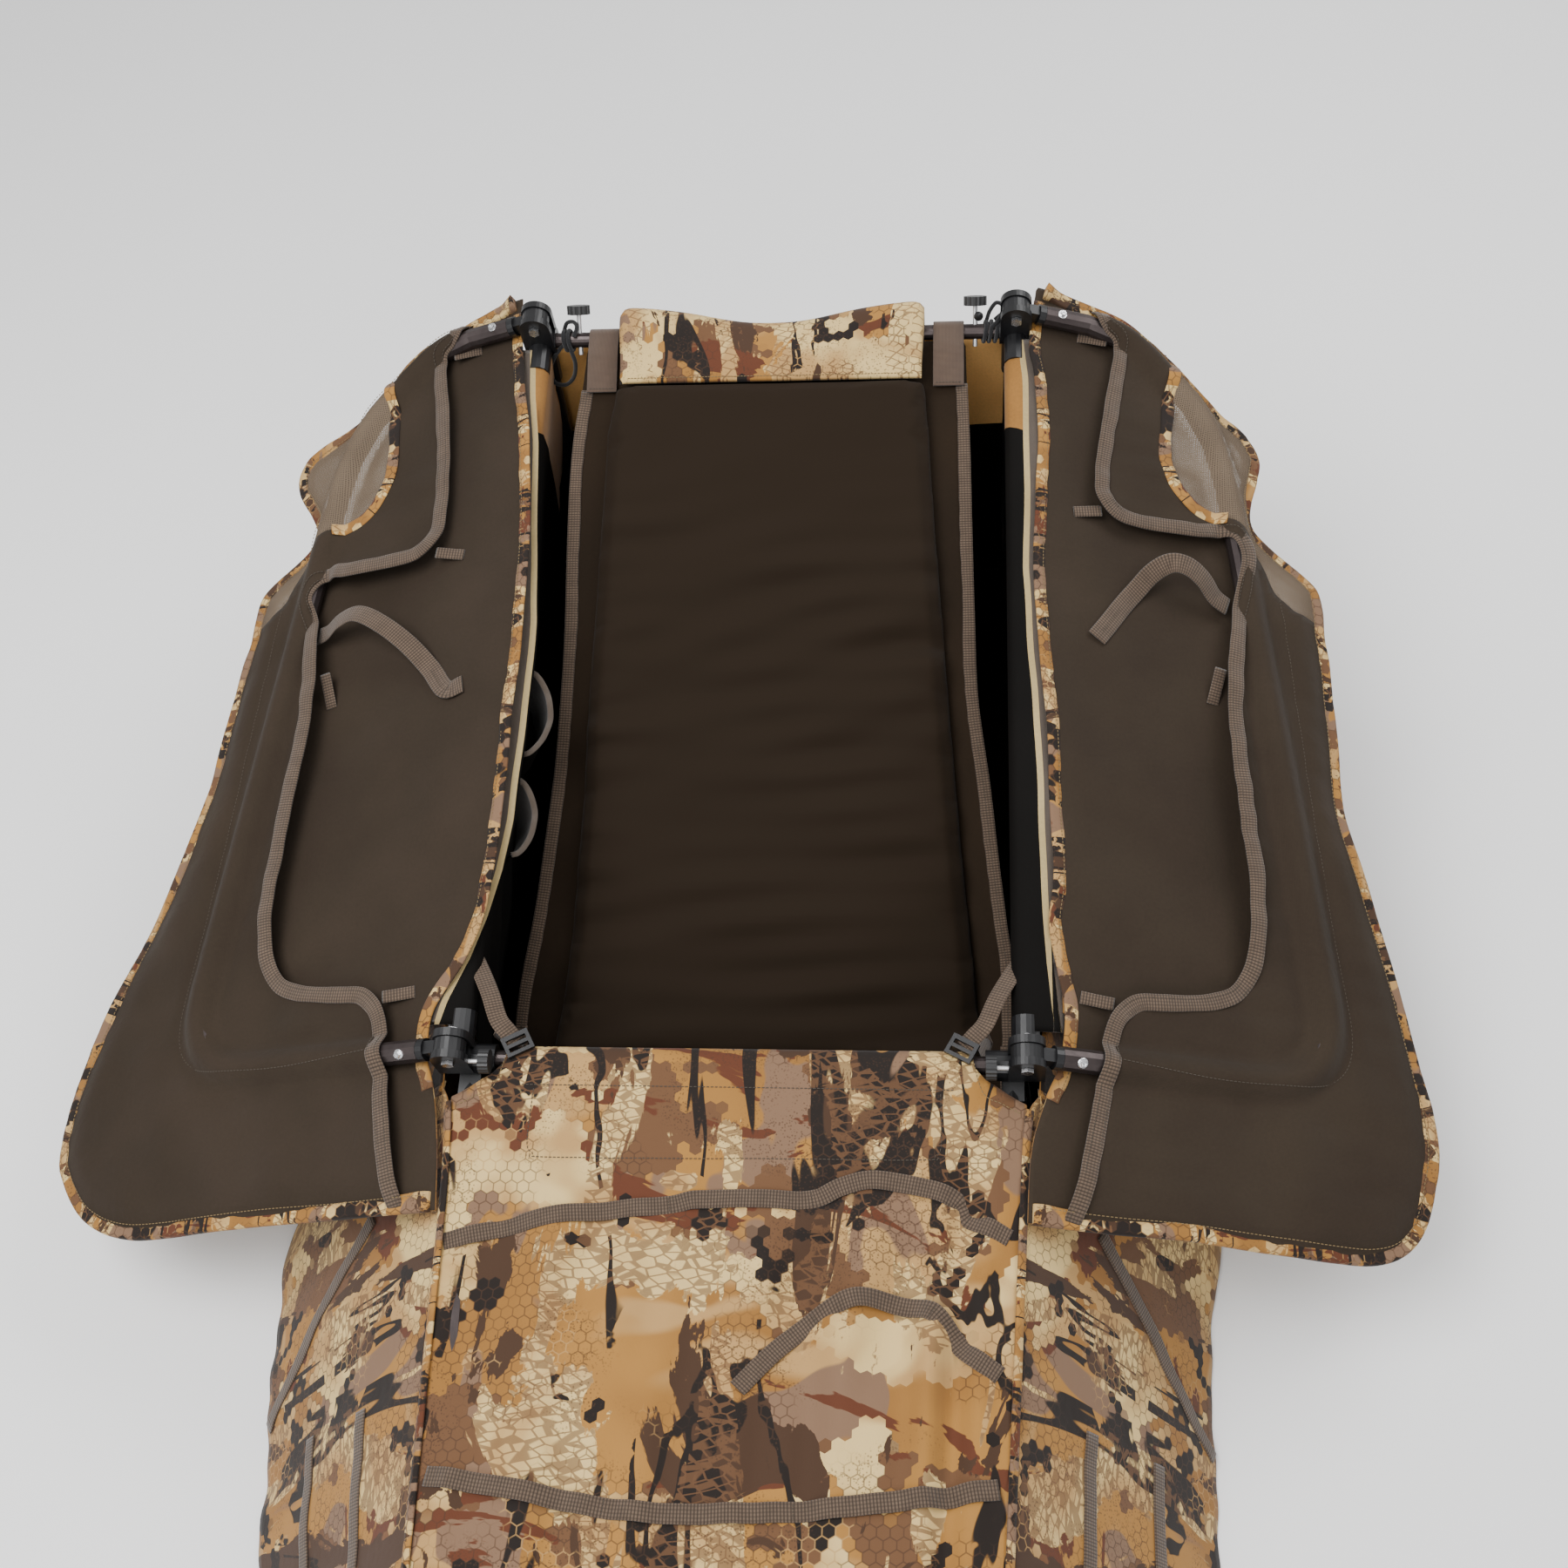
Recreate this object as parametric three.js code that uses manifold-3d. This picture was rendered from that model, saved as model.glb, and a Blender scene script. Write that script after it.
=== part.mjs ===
// Layout field blind: a knock-down tube frame on four telescoping legs, a padded hammock sling,
// a fabric body with a foot cover, and two hinged doors that open outwards.
// Millimetres, +Z up, +Y towards the head end, origin on the ground under the middle.
import * as THREE from 'three';
import { mergeVertices } from 'three/addons/utils/BufferGeometryUtils.js';
import { ConvexGeometry } from 'three/addons/geometries/ConvexGeometry.js';
import Module from 'manifold-3d';

const wasm = await Module();
wasm.setup();

// ---------------------------------------------------------------- driving dimensions
const GAP = 0.3;
const HINGE_X = 300;                  // half the distance between the two door hinge lines
const OPENING = 950;                  // distance between the two hinges of one door
const TILT = THREE.MathUtils.degToRad(12);
const HINGE_Z = 340;                  // height of the lower hinges
const RAIL_DROP = 40;                 // frame tubes run this far below the hinge line
const CROSS_R = 9.5;
const CROSS_WALL = 1.4;
const RAIL_R = 11;
const RAIL_WALL = 1.4;
const DOOR_TUBE_R = 12.7;
const DOOR_TUBE_BORE_R = 11.5;
const LEG_R = 12;
const LEG_SLEEVE_R = 14;
const LEG_SLEEVE_BORE_R = 12.3;
const FOOT_R = 35;
const FOOT_H = 14;
const HEAD_SLEEVE_BOTTOM = 170;
const HEAD_LEG_TOP = 440;
const FOOT_SLEEVE_BOTTOM = 60;
const FOOT_LEG_TOP = 190;
const FOOT_CONNECTOR = [232, -880, 222];
const DOOR_SLOPE = THREE.MathUtils.degToRad(20);
const PANEL_BACK = -16;               // door fabric lies under the door tube
const PANEL_THICK = 3;
const FLAP_FRONT = 13.5;
const FLAP_THICK = 2;
const KNOB_LEAN = THREE.MathUtils.degToRad(56);
const HEAD_KNOB_X = 250;
const SLING_TOP = [937, 510];         // Y and Z of two points on the sling's upper face
const SLING_HIP = [110, 92];
const SLING_THICK = 3;
const SLING_TOP_HALF = 236;
const SLING_HIP_HALF = 292;
const PAD_THICK = 28;
const PAD_TOP_HALF = 194;
const PAD_BOTTOM_HALF = 244;
const CLOTH = 3;

// ---------------------------------------------------------------- materials
function paint(color, roughness, metalness) {
  return new THREE.MeshStandardMaterial({ color, roughness, metalness });
}
const tubeFinish = paint(0x3b302e, 0.42, 0.7);
const blackPlastic = paint(0x0e0e10, 0.45, 0.0);
const steel = paint(0xb9bcc0, 0.3, 1.0);
const rubber = paint(0x151515, 0.85, 0.0);
const liner = paint(0x39322a, 0.9, 0.0);
const padCloth = paint(0x2a231d, 0.9, 0.0);
const webbing = paint(0x6a5d53, 0.9, 0.0);
const camo = paint(0xa9814f, 0.9, 0.0);
const darkCloth = paint(0x14110f, 0.95, 0.0);

// ---------------------------------------------------------------- solids
function toSolid(geometry) {
  const flat = geometry.index ? geometry.toNonIndexed() : geometry;
  const bare = new THREE.BufferGeometry();
  bare.setAttribute('position', flat.getAttribute('position').clone());
  const merged = mergeVertices(bare, 1e-3);
  return new wasm.Manifold(new wasm.Mesh({
    numProp: 3,
    vertProperties: merged.attributes.position.array,
    triVerts: new Uint32Array(merged.index.array),
  }));
}

function toGeometry(solid) {
  const mesh = solid.getMesh();
  const geometry = new THREE.BufferGeometry();
  geometry.setAttribute('position', new THREE.BufferAttribute(new Float32Array(mesh.vertProperties), 3));
  geometry.setIndex(new THREE.BufferAttribute(new Uint32Array(mesh.triVerts), 1));
  geometry.computeVertexNormals();
  return geometry;
}

function join(solids) {
  return solids.reduce((sum, solid) => sum.add(solid));
}

function cut(solid, tools) {
  return tools.reduce((left, tool) => left.subtract(tool), solid);
}

// Round bar between two points.
function rod(from, to, radius, sides = 16) {
  const start = new THREE.Vector3(...from);
  const end = new THREE.Vector3(...to);
  const geometry = new THREE.CylinderGeometry(radius, radius, start.distanceTo(end), sides);
  const along = end.clone().sub(start).normalize();
  geometry.applyQuaternion(new THREE.Quaternion().setFromUnitVectors(new THREE.Vector3(0, 1, 0), along));
  const middle = start.add(end).multiplyScalar(0.5);
  geometry.translate(middle.x, middle.y, middle.z);
  return toSolid(geometry);
}

function tube(from, to, radius, bore, sides = 16) {
  const start = new THREE.Vector3(...from);
  const end = new THREE.Vector3(...to);
  const past = end.clone().sub(start).normalize().multiplyScalar(2);
  const longStart = start.clone().sub(past).toArray();
  const longEnd = end.clone().add(past).toArray();
  return rod(from, to, radius, sides).subtract(rod(longStart, longEnd, bore, sides));
}

function block(low, high) {
  const size = high.map((value, i) => value - low[i]);
  const geometry = new THREE.BoxGeometry(...size);
  geometry.translate(...high.map((value, i) => (value + low[i]) / 2));
  return toSolid(geometry);
}

function outline(points) {
  return new THREE.Shape(points.map(([x, y]) => new THREE.Vector2(x, y)));
}

// A flat outline drawn on two axes and extruded along their cross product.
function prism(shape, depth, origin, xAxis, yAxis, curveSegments = 12) {
  const geometry = new THREE.ExtrudeGeometry(shape, { depth, bevelEnabled: false, curveSegments });
  const x = new THREE.Vector3(...xAxis);
  const y = new THREE.Vector3(...yAxis);
  const basis = new THREE.Matrix4().makeBasis(x, y, x.clone().cross(y));
  basis.setPosition(...origin);
  geometry.applyMatrix4(basis);
  return toSolid(geometry);
}

// A profile in the Y-Z plane, as wide as twice half across X.
function across(points, half) {
  return prism(outline(points), 2 * half, [-half, 0, 0], [0, 1, 0], [0, 0, 1]);
}

// A cloth skin over a grid of points, thickened by one offset.
function skin(rows, offset) {
  const shift = new THREE.Vector3(...offset);
  const cells = [];
  for (let r = 0; r + 1 < rows.length; r += 1) {
    for (let c = 0; c + 1 < rows[r].length; c += 1) {
      const a = rows[r][c];
      const b = rows[r][c + 1];
      const d = rows[r + 1][c];
      const e = rows[r + 1][c + 1];
      for (const triangle of [[a, b, e], [a, e, d]]) {
        const near = triangle.map((p) => new THREE.Vector3(...p));
        const far = near.map((p) => p.clone().add(shift));
        cells.push(toSolid(new ConvexGeometry([...near, ...far])));
      }
    }
  }
  return join(cells);
}

// ---------------------------------------------------------------- scene graph
const root = new THREE.Group();
const tilted = new THREE.Group();
tilted.position.z = HINGE_Z;
tilted.rotation.x = TILT;
root.add(tilted);

function add(group, name, solid, material) {
  const mesh = new THREE.Mesh(toGeometry(solid), material);
  mesh.name = name;
  group.add(mesh);
  return mesh;
}

// World position of a point in the tilted hinge plane's frame.
function worldOf([x, v, w]) {
  const y = v * Math.cos(TILT) - w * Math.sin(TILT);
  const z = v * Math.sin(TILT) + w * Math.cos(TILT) + HINGE_Z;
  return [x, y, z];
}
const downInTilt = [0, -Math.sin(TILT), -Math.cos(TILT)];

function step(from, direction, distance) {
  return from.map((value, i) => value + direction[i] * distance);
}

// ---------------------------------------------------------------- frame tubes across the blind
const headTubeCentre = worldOf([0, OPENING, -RAIL_DROP]);
const midTubeCentre = worldOf([0, 0, -RAIL_DROP]);
const knobAxis = [0, Math.cos(KNOB_LEAN), Math.sin(KNOB_LEAN)];

function crossTube(centre, half) {
  const [, y, z] = centre;
  return tube([-half, y, z], [half, y, z], CROSS_R, CROSS_R - CROSS_WALL);
}

const knobHoles = [-HEAD_KNOB_X, HEAD_KNOB_X].map((x) => {
  const centre = [x, headTubeCentre[1], headTubeCentre[2]];
  return rod(step(centre, knobAxis, -20), step(centre, knobAxis, 20), 3 + GAP, 12);
});
add(root, 'head_cross_tube', cut(crossTube(headTubeCentre, 301.5), knobHoles), tubeFinish);
add(root, 'mid_cross_tube', crossTube(midTubeCentre, 301.5), tubeFinish);
add(root, 'foot_cross_tube', crossTube(FOOT_CONNECTOR, 221.5), tubeFinish);

// ---------------------------------------------------------------- sling, pad and headrest
const slingSlope = Math.atan2(SLING_TOP[1] - SLING_HIP[1], SLING_TOP[0] - SLING_HIP[0]);
const slingLength = Math.hypot(SLING_TOP[1] - SLING_HIP[1], SLING_TOP[0] - SLING_HIP[0]);
const upSlope = [0, Math.cos(slingSlope), Math.sin(slingSlope)];
const slingOrigin = [0, ...SLING_TOP];

// A point in the Y-Z plane at a distance down the sling and a height off its upper face.
function onSling(down, height) {
  const y = SLING_TOP[0] - down * Math.cos(slingSlope) - height * Math.sin(slingSlope);
  const z = SLING_TOP[1] - down * Math.sin(slingSlope) + height * Math.cos(slingSlope);
  return [y, z];
}

const SEAT_Z = 47;
const SEAT_END_Y = -820;
const slingProfile = [
  onSling(24, 0), SLING_HIP, [50, 62], [-30, SEAT_Z], [SEAT_END_Y, SEAT_Z],
  [SEAT_END_Y, SEAT_Z - SLING_THICK], [-29, SEAT_Z - SLING_THICK], [51.3, 58.8],
  onSling(slingLength, -SLING_THICK), onSling(24, -SLING_THICK),
];
const slingPlan = prism(outline([
  [-SLING_TOP_HALF, 940], [-SLING_HIP_HALF, SLING_HIP[0]], [-SLING_HIP_HALF, SEAT_END_Y - 1],
  [SLING_HIP_HALF, SEAT_END_Y - 1], [SLING_HIP_HALF, SLING_HIP[0]], [SLING_TOP_HALF, 940],
]), 600, [0, 0, 0], [1, 0, 0], [0, 1, 0]);
add(root, 'hammock_sling', across(slingProfile, 300).intersect(slingPlan), padCloth);

const PAD_START = 79;
const PAD_END = 917;
const PAD_ROUND = 7;
const padShape = outline([
  [-PAD_BOTTOM_HALF + PAD_ROUND, -PAD_END + PAD_ROUND], [PAD_BOTTOM_HALF - PAD_ROUND, -PAD_END + PAD_ROUND],
  [PAD_TOP_HALF - PAD_ROUND, -PAD_START - PAD_ROUND], [-PAD_TOP_HALF + PAD_ROUND, -PAD_START - PAD_ROUND],
]);
const padGeometry = new THREE.ExtrudeGeometry(padShape, {
  depth: PAD_THICK - 2 * PAD_ROUND - GAP,
  bevelThickness: PAD_ROUND,
  bevelSize: PAD_ROUND,
  bevelSegments: 2,
});
padGeometry.translate(0, 0, PAD_ROUND + GAP);
const padPlace = new THREE.Matrix4().makeBasis(
  new THREE.Vector3(1, 0, 0),
  new THREE.Vector3(...upSlope),
  new THREE.Vector3(0, -Math.sin(slingSlope), Math.cos(slingSlope)),
);
padPlace.setPosition(...slingOrigin);
padGeometry.applyMatrix4(padPlace);
add(root, 'back_pad', toSolid(padGeometry), padCloth);

const HEADREST_HALF = 186;
const headrestProfile = [
  onSling(78, PAD_THICK), [893, 513], [925, 521], [940, 522], [950, 517], [954.5, 507], [955, 468],
  [951.5, 468], [951, 500], [946, 511], [938, 513], [926, 508.5], onSling(24, 1), onSling(78, 1),
];
add(root, 'headrest', across(headrestProfile, HEADREST_HALF), camo);

// ---------------------------------------------------------------- floor, foot cover and end panels
const FLOOR_Z = 20;
add(root, 'floor_pan', block([-336, -855, FLOOR_Z], [336, 900, FLOOR_Z + CLOTH]), darkCloth);

const SLEEVE_R = 13;
const SLEEVE_HALF = 252;
const sleeveRing = tube(
  [-SLEEVE_HALF, midTubeCentre[1], midTubeCentre[2]],
  [SLEEVE_HALF, midTubeCentre[1], midTubeCentre[2]],
  SLEEVE_R,
  CROSS_R + GAP,
);
const coverTop = [
  [midTubeCentre[1], midTubeCentre[2] + SLEEVE_R - 0.2], [-30, 309], [-170, 284], [-895, 243],
];
const coverUnder = coverTop.map(([y, z]) => [y, z - CLOTH]).reverse();
const COVER_HEAD_HALF = 294;
const COVER_FOOT_HALF = 250;
const coverPlan = prism(outline([
  [-SLEEVE_HALF, 40], [-SLEEVE_HALF, -26], [-COVER_HEAD_HALF, -32], [-COVER_FOOT_HALF, -896],
  [COVER_FOOT_HALF, -896], [COVER_HEAD_HALF, -32], [SLEEVE_HALF, -26], [SLEEVE_HALF, 40],
]), 600, [0, 0, 0], [1, 0, 0], [0, 1, 0]);
const coverSlab = across([...coverTop, ...coverUnder], 320).intersect(coverPlan);
const midBore = rod(
  [-320, midTubeCentre[1], midTubeCentre[2]],
  [320, midTubeCentre[1], midTubeCentre[2]],
  CROSS_R + GAP,
);
add(root, 'foot_cover', sleeveRing.add(coverSlab).subtract(midBore), camo);

const HEM_Z = 4;
add(root, 'foot_end_panel', skin([
  [[-249, -898, 236], [249, -898, 236]],
  [[-464, -930, HEM_Z], [464, -930, HEM_Z]],
], [0, -CLOTH, 0]), camo);
add(root, 'head_end_panel', skin([
  [[-298, 967, 476], [298, 967, 476]],
  [[-522, 1000, HEM_Z], [522, 1000, HEM_Z]],
], [0, CLOTH, 0]), camo);

// ---------------------------------------------------------------- connectors
const EYE_R = 17;
const CHEEK_R = 19;
const CHEEK_IN = 7.5;
const CHEEK_OUT = 16;
const BOLT_R = 4;
const SOCKET_R = 15;
const LATERAL_R = 16;
const LEG_SOCKET_R = 17;

// The two cheeks that carry one door hinge, in the tilted frame around the hinge at v.
function hingeCheeks(v) {
  const shape = new THREE.Shape();
  shape.moveTo(-CHEEK_R, -RAIL_DROP);
  shape.lineTo(CHEEK_R, -RAIL_DROP);
  shape.lineTo(CHEEK_R, 0);
  shape.absarc(0, 0, CHEEK_R, 0, Math.PI, false);
  const solids = [CHEEK_OUT, -CHEEK_IN].map((top) => prism(
    shape,
    CHEEK_OUT - CHEEK_IN,
    [HINGE_X, v + top, 0],
    [1, 0, 0],
    [0, 0, 1],
    8,
  ));
  solids.push(block([HINGE_X - 16, v - CHEEK_OUT, -RAIL_DROP], [HINGE_X + 16, v + CHEEK_OUT, -18.5]));
  return join(solids);
}

function boltHole(v) {
  return rod([HINGE_X, v - 30, 0], [HINGE_X, v + 30, 0], BOLT_R + GAP);
}

function headConnector() {
  const centre = [HINGE_X, OPENING, -RAIL_DROP];
  const body = join([
    hingeCheeks(OPENING),
    rod([280, OPENING, -RAIL_DROP], [318, OPENING, -RAIL_DROP], LATERAL_R),
    rod([HINGE_X, 898, -RAIL_DROP], centre, SOCKET_R),
    rod(centre, step(centre, downInTilt, 60), LEG_SOCKET_R),
  ]);
  return cut(body, [
    rod([250, OPENING, -RAIL_DROP], [302, OPENING, -RAIL_DROP], CROSS_R + GAP),
    rod([HINGE_X, 880, -RAIL_DROP], [HINGE_X, 932.5, -RAIL_DROP], RAIL_R + GAP),
    rod(step(centre, downInTilt, 22), step(centre, downInTilt, 80), LEG_SLEEVE_R + GAP, 20),
    boltHole(OPENING),
  ]);
}

const footRailStart = [286, -14, 276];
const railVector = new THREE.Vector3(...FOOT_CONNECTOR).sub(new THREE.Vector3(...footRailStart));
const footRailLength = railVector.length();
const railDirection = railVector.normalize().toArray();

// A world point in the tilted frame.
function tiltedOf([x, y, z]) {
  const rise = z - HINGE_Z;
  return [
    x,
    y * Math.cos(TILT) + rise * Math.sin(TILT),
    -y * Math.sin(TILT) + rise * Math.cos(TILT),
  ];
}

const MID_KNOB_V = -11.75;
const MID_KNOB_W = -10;

function midConnector() {
  const railAt = (distance) => tiltedOf(step(footRailStart, railDirection, distance));
  const web = block([275, -36, -68], [298, 3, -45]);
  const body = join([
    hingeCheeks(0),
    rod([258, 0, -RAIL_DROP], [318, 0, -RAIL_DROP], LATERAL_R),
    rod([HINGE_X, 0, -RAIL_DROP], [HINGE_X, 52, -RAIL_DROP], SOCKET_R),
    rod(railAt(0), railAt(50), SOCKET_R),
    web,
  ]);
  return cut(body, [
    rod([240, 0, -RAIL_DROP], [302, 0, -RAIL_DROP], CROSS_R + GAP),
    rod([HINGE_X, 17.5, -RAIL_DROP], [HINGE_X, 70, -RAIL_DROP], RAIL_R + GAP),
    rod(railAt(15), railAt(70), RAIL_R + GAP),
    rod([270, MID_KNOB_V, MID_KNOB_W], [293, MID_KNOB_V, MID_KNOB_W], 2.5 + GAP, 12),
    boltHole(0),
  ]);
}

function footConnector() {
  const [x, y, z] = FOOT_CONNECTOR;
  const railAt = (distance) => step(FOOT_CONNECTOR, railDirection, -distance);
  const body = join([
    rod([190, y, z], [250, y, z], LATERAL_R),
    rod(railAt(0), railAt(52), SOCKET_R),
    rod([x, y, z - 60], FOOT_CONNECTOR, LEG_SOCKET_R),
  ]);
  return cut(body, [
    rod([170, y, z], [222, y, z], CROSS_R + GAP),
    rod(railAt(18), railAt(80), RAIL_R + GAP),
    rod([x, y, z - 80], [x, y, z - 22], LEG_SLEEVE_R + GAP, 20),
  ]);
}

function hingeBolt(v) {
  return join([
    rod([HINGE_X, v - 17, 0], [HINGE_X, v + 17, 0], BOLT_R),
    rod([HINGE_X, v - 20.5, 0], [HINGE_X, v - CHEEK_OUT - GAP, 0], 7, 6),
    rod([HINGE_X, v + CHEEK_OUT + GAP, 0], [HINGE_X, v + 20.5, 0], 7, 6),
  ]);
}

// ---------------------------------------------------------------- knobs and legs
function knurledDisc(origin, axis, radius, thickness) {
  const points = [];
  for (let i = 0; i < 36; i += 1) {
    const r = i % 2 ? radius : radius - 0.8;
    const angle = (i / 36) * 2 * Math.PI;
    points.push([r * Math.cos(angle), r * Math.sin(angle)]);
  }
  const along = new THREE.Vector3(...axis);
  const side = new THREE.Vector3(1, 0, 0);
  if (Math.abs(along.x) > 0.9) side.set(0, 1, 0);
  const up = along.clone().cross(side).normalize();
  return prism(outline(points), thickness, origin, side.toArray(), up.toArray());
}

function headKnob() {
  const centre = [HEAD_KNOB_X, headTubeCentre[1], headTubeCentre[2]];
  return join([
    rod(step(centre, knobAxis, -18), step(centre, knobAxis, 33), 3, 12),
    knurledDisc(step(centre, knobAxis, 32), knobAxis, 14.5, 11),
  ]);
}

function midKnob() {
  return join([
    rod([265, MID_KNOB_V, MID_KNOB_W], [292, MID_KNOB_V, MID_KNOB_W], 2.5, 12),
    knurledDisc([258, MID_KNOB_V, MID_KNOB_W], [1, 0, 0], 13, 11),
  ]);
}

function leg(x, y, top) {
  return join([
    rod([x, y, 0], [x, y, FOOT_H], FOOT_R, 24),
    rod([x, y, FOOT_H - 2], [x, y, top], LEG_R, 20),
  ]);
}

// ---------------------------------------------------------------- doors, in u (outwards), v (headwards), n
const doorOutline = [
  [-16, 922], [28, 922], [28, 978], [37, 1008], [135, 980], [198, 925], [273, 860], [318, 833],
  [322, 779], [291, 704], [337, 657], [367, 629], [375, 565], [390, 485], [393, 369], [410, 260],
  [438, 167], [462, 77], [480, -21], [482, -94], [450, -153], [401, -174], [352, -175], [208, -169],
  [-16, -166], [-16, -28], [28, -28], [28, 28], [-16, 28],
];
const flapOutline = [
  [102, 970], [103, 944], [128, 935], [113, 833], [97, 720], [100, 685], [125, 665], [184, 662],
  [233, 662], [264, 671], [277, 642], [266, 579], [248, 471], [248, 368], [254, 281], [257, 207],
  [254, 133], [235, 101], [181, 83], [126, 79], [104, 68], [86, 40], [73, -32], [43, -160],
  [208, -164], [352, -170], [399, -169], [446, -149], [477, -92], [475, -21], [457, 77], [433, 167],
  [405, 260], [388, 369], [385, 485], [370, 565], [362, 627], [333, 654], [286, 703], [317, 779],
  [313, 830], [270, 856], [195, 921], [132, 975],
];

function doorSocket(v) {
  const body = join([
    rod([0, v - 7, 0], [0, v + 7, 0], EYE_R, 24),
    block([0, v - 7, -8], [30, v + 7, 8]),
    rod([28, v, 0], [36, v, 0], 12.5),
    rod([35, v, 0], [62, v, 0], DOOR_TUBE_BORE_R - 0.7),
  ]);
  return body.subtract(rod([0, v - 30, 0], [0, v + 30, 0], BOLT_R + GAP));
}

function doorTube() {
  const path = new THREE.CurvePath();
  const at = (u, v) => new THREE.Vector3(u, v, 0);
  path.add(new THREE.LineCurve3(at(36 + GAP, 0), at(250, 0)));
  path.add(new THREE.QuadraticBezierCurve3(at(250, 0), at(356, 0), at(344, 100)));
  path.add(new THREE.LineCurve3(at(344, 100), at(268, 750)));
  path.add(new THREE.QuadraticBezierCurve3(at(268, 750), at(257, 844), at(195, 893)));
  path.add(new THREE.QuadraticBezierCurve3(at(195, 893), at(150, 948), at(110, OPENING)));
  path.add(new THREE.LineCurve3(at(110, OPENING), at(36 + GAP, OPENING)));
  const swept = (radius) => {
    const circle = new THREE.Shape();
    circle.absarc(0, 0, radius, 0, 2 * Math.PI, false);
    return toSolid(new THREE.ExtrudeGeometry(circle, { steps: 24, extrudePath: path, curveSegments: 6 }));
  };
  return swept(DOOR_TUBE_R).subtract(swept(DOOR_TUBE_BORE_R));
}

// A webbing pull strap that arches over the door fabric from its root to its loose end.
function pullStrap([rootU, rootV], [tipU, tipV]) {
  const along = new THREE.Vector3(tipU - rootU, tipV - rootV, 0);
  const length = along.length();
  along.normalize();
  const top = [];
  const under = [];
  const SPANS = 8;
  for (let i = 0; i <= SPANS; i += 1) {
    const a = (i / SPANS) * length;
    const height = -12 + 16 * Math.sin((i / SPANS) * Math.PI);
    top.push([a, height + 1.8]);
    under.unshift([a, height]);
  }
  const across3 = along.clone().cross(new THREE.Vector3(0, 0, 1));
  const origin = new THREE.Vector3(rootU, rootV, 0).sub(across3.clone().multiplyScalar(12));
  return prism(outline([...top, ...under]), 24, origin.toArray(), along.toArray(), [0, 0, 1]);
}

// ---------------------------------------------------------------- one side of the blind
function railPoint(v, below) {
  return worldOf([HINGE_X, v, -RAIL_DROP - below]);
}

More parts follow.
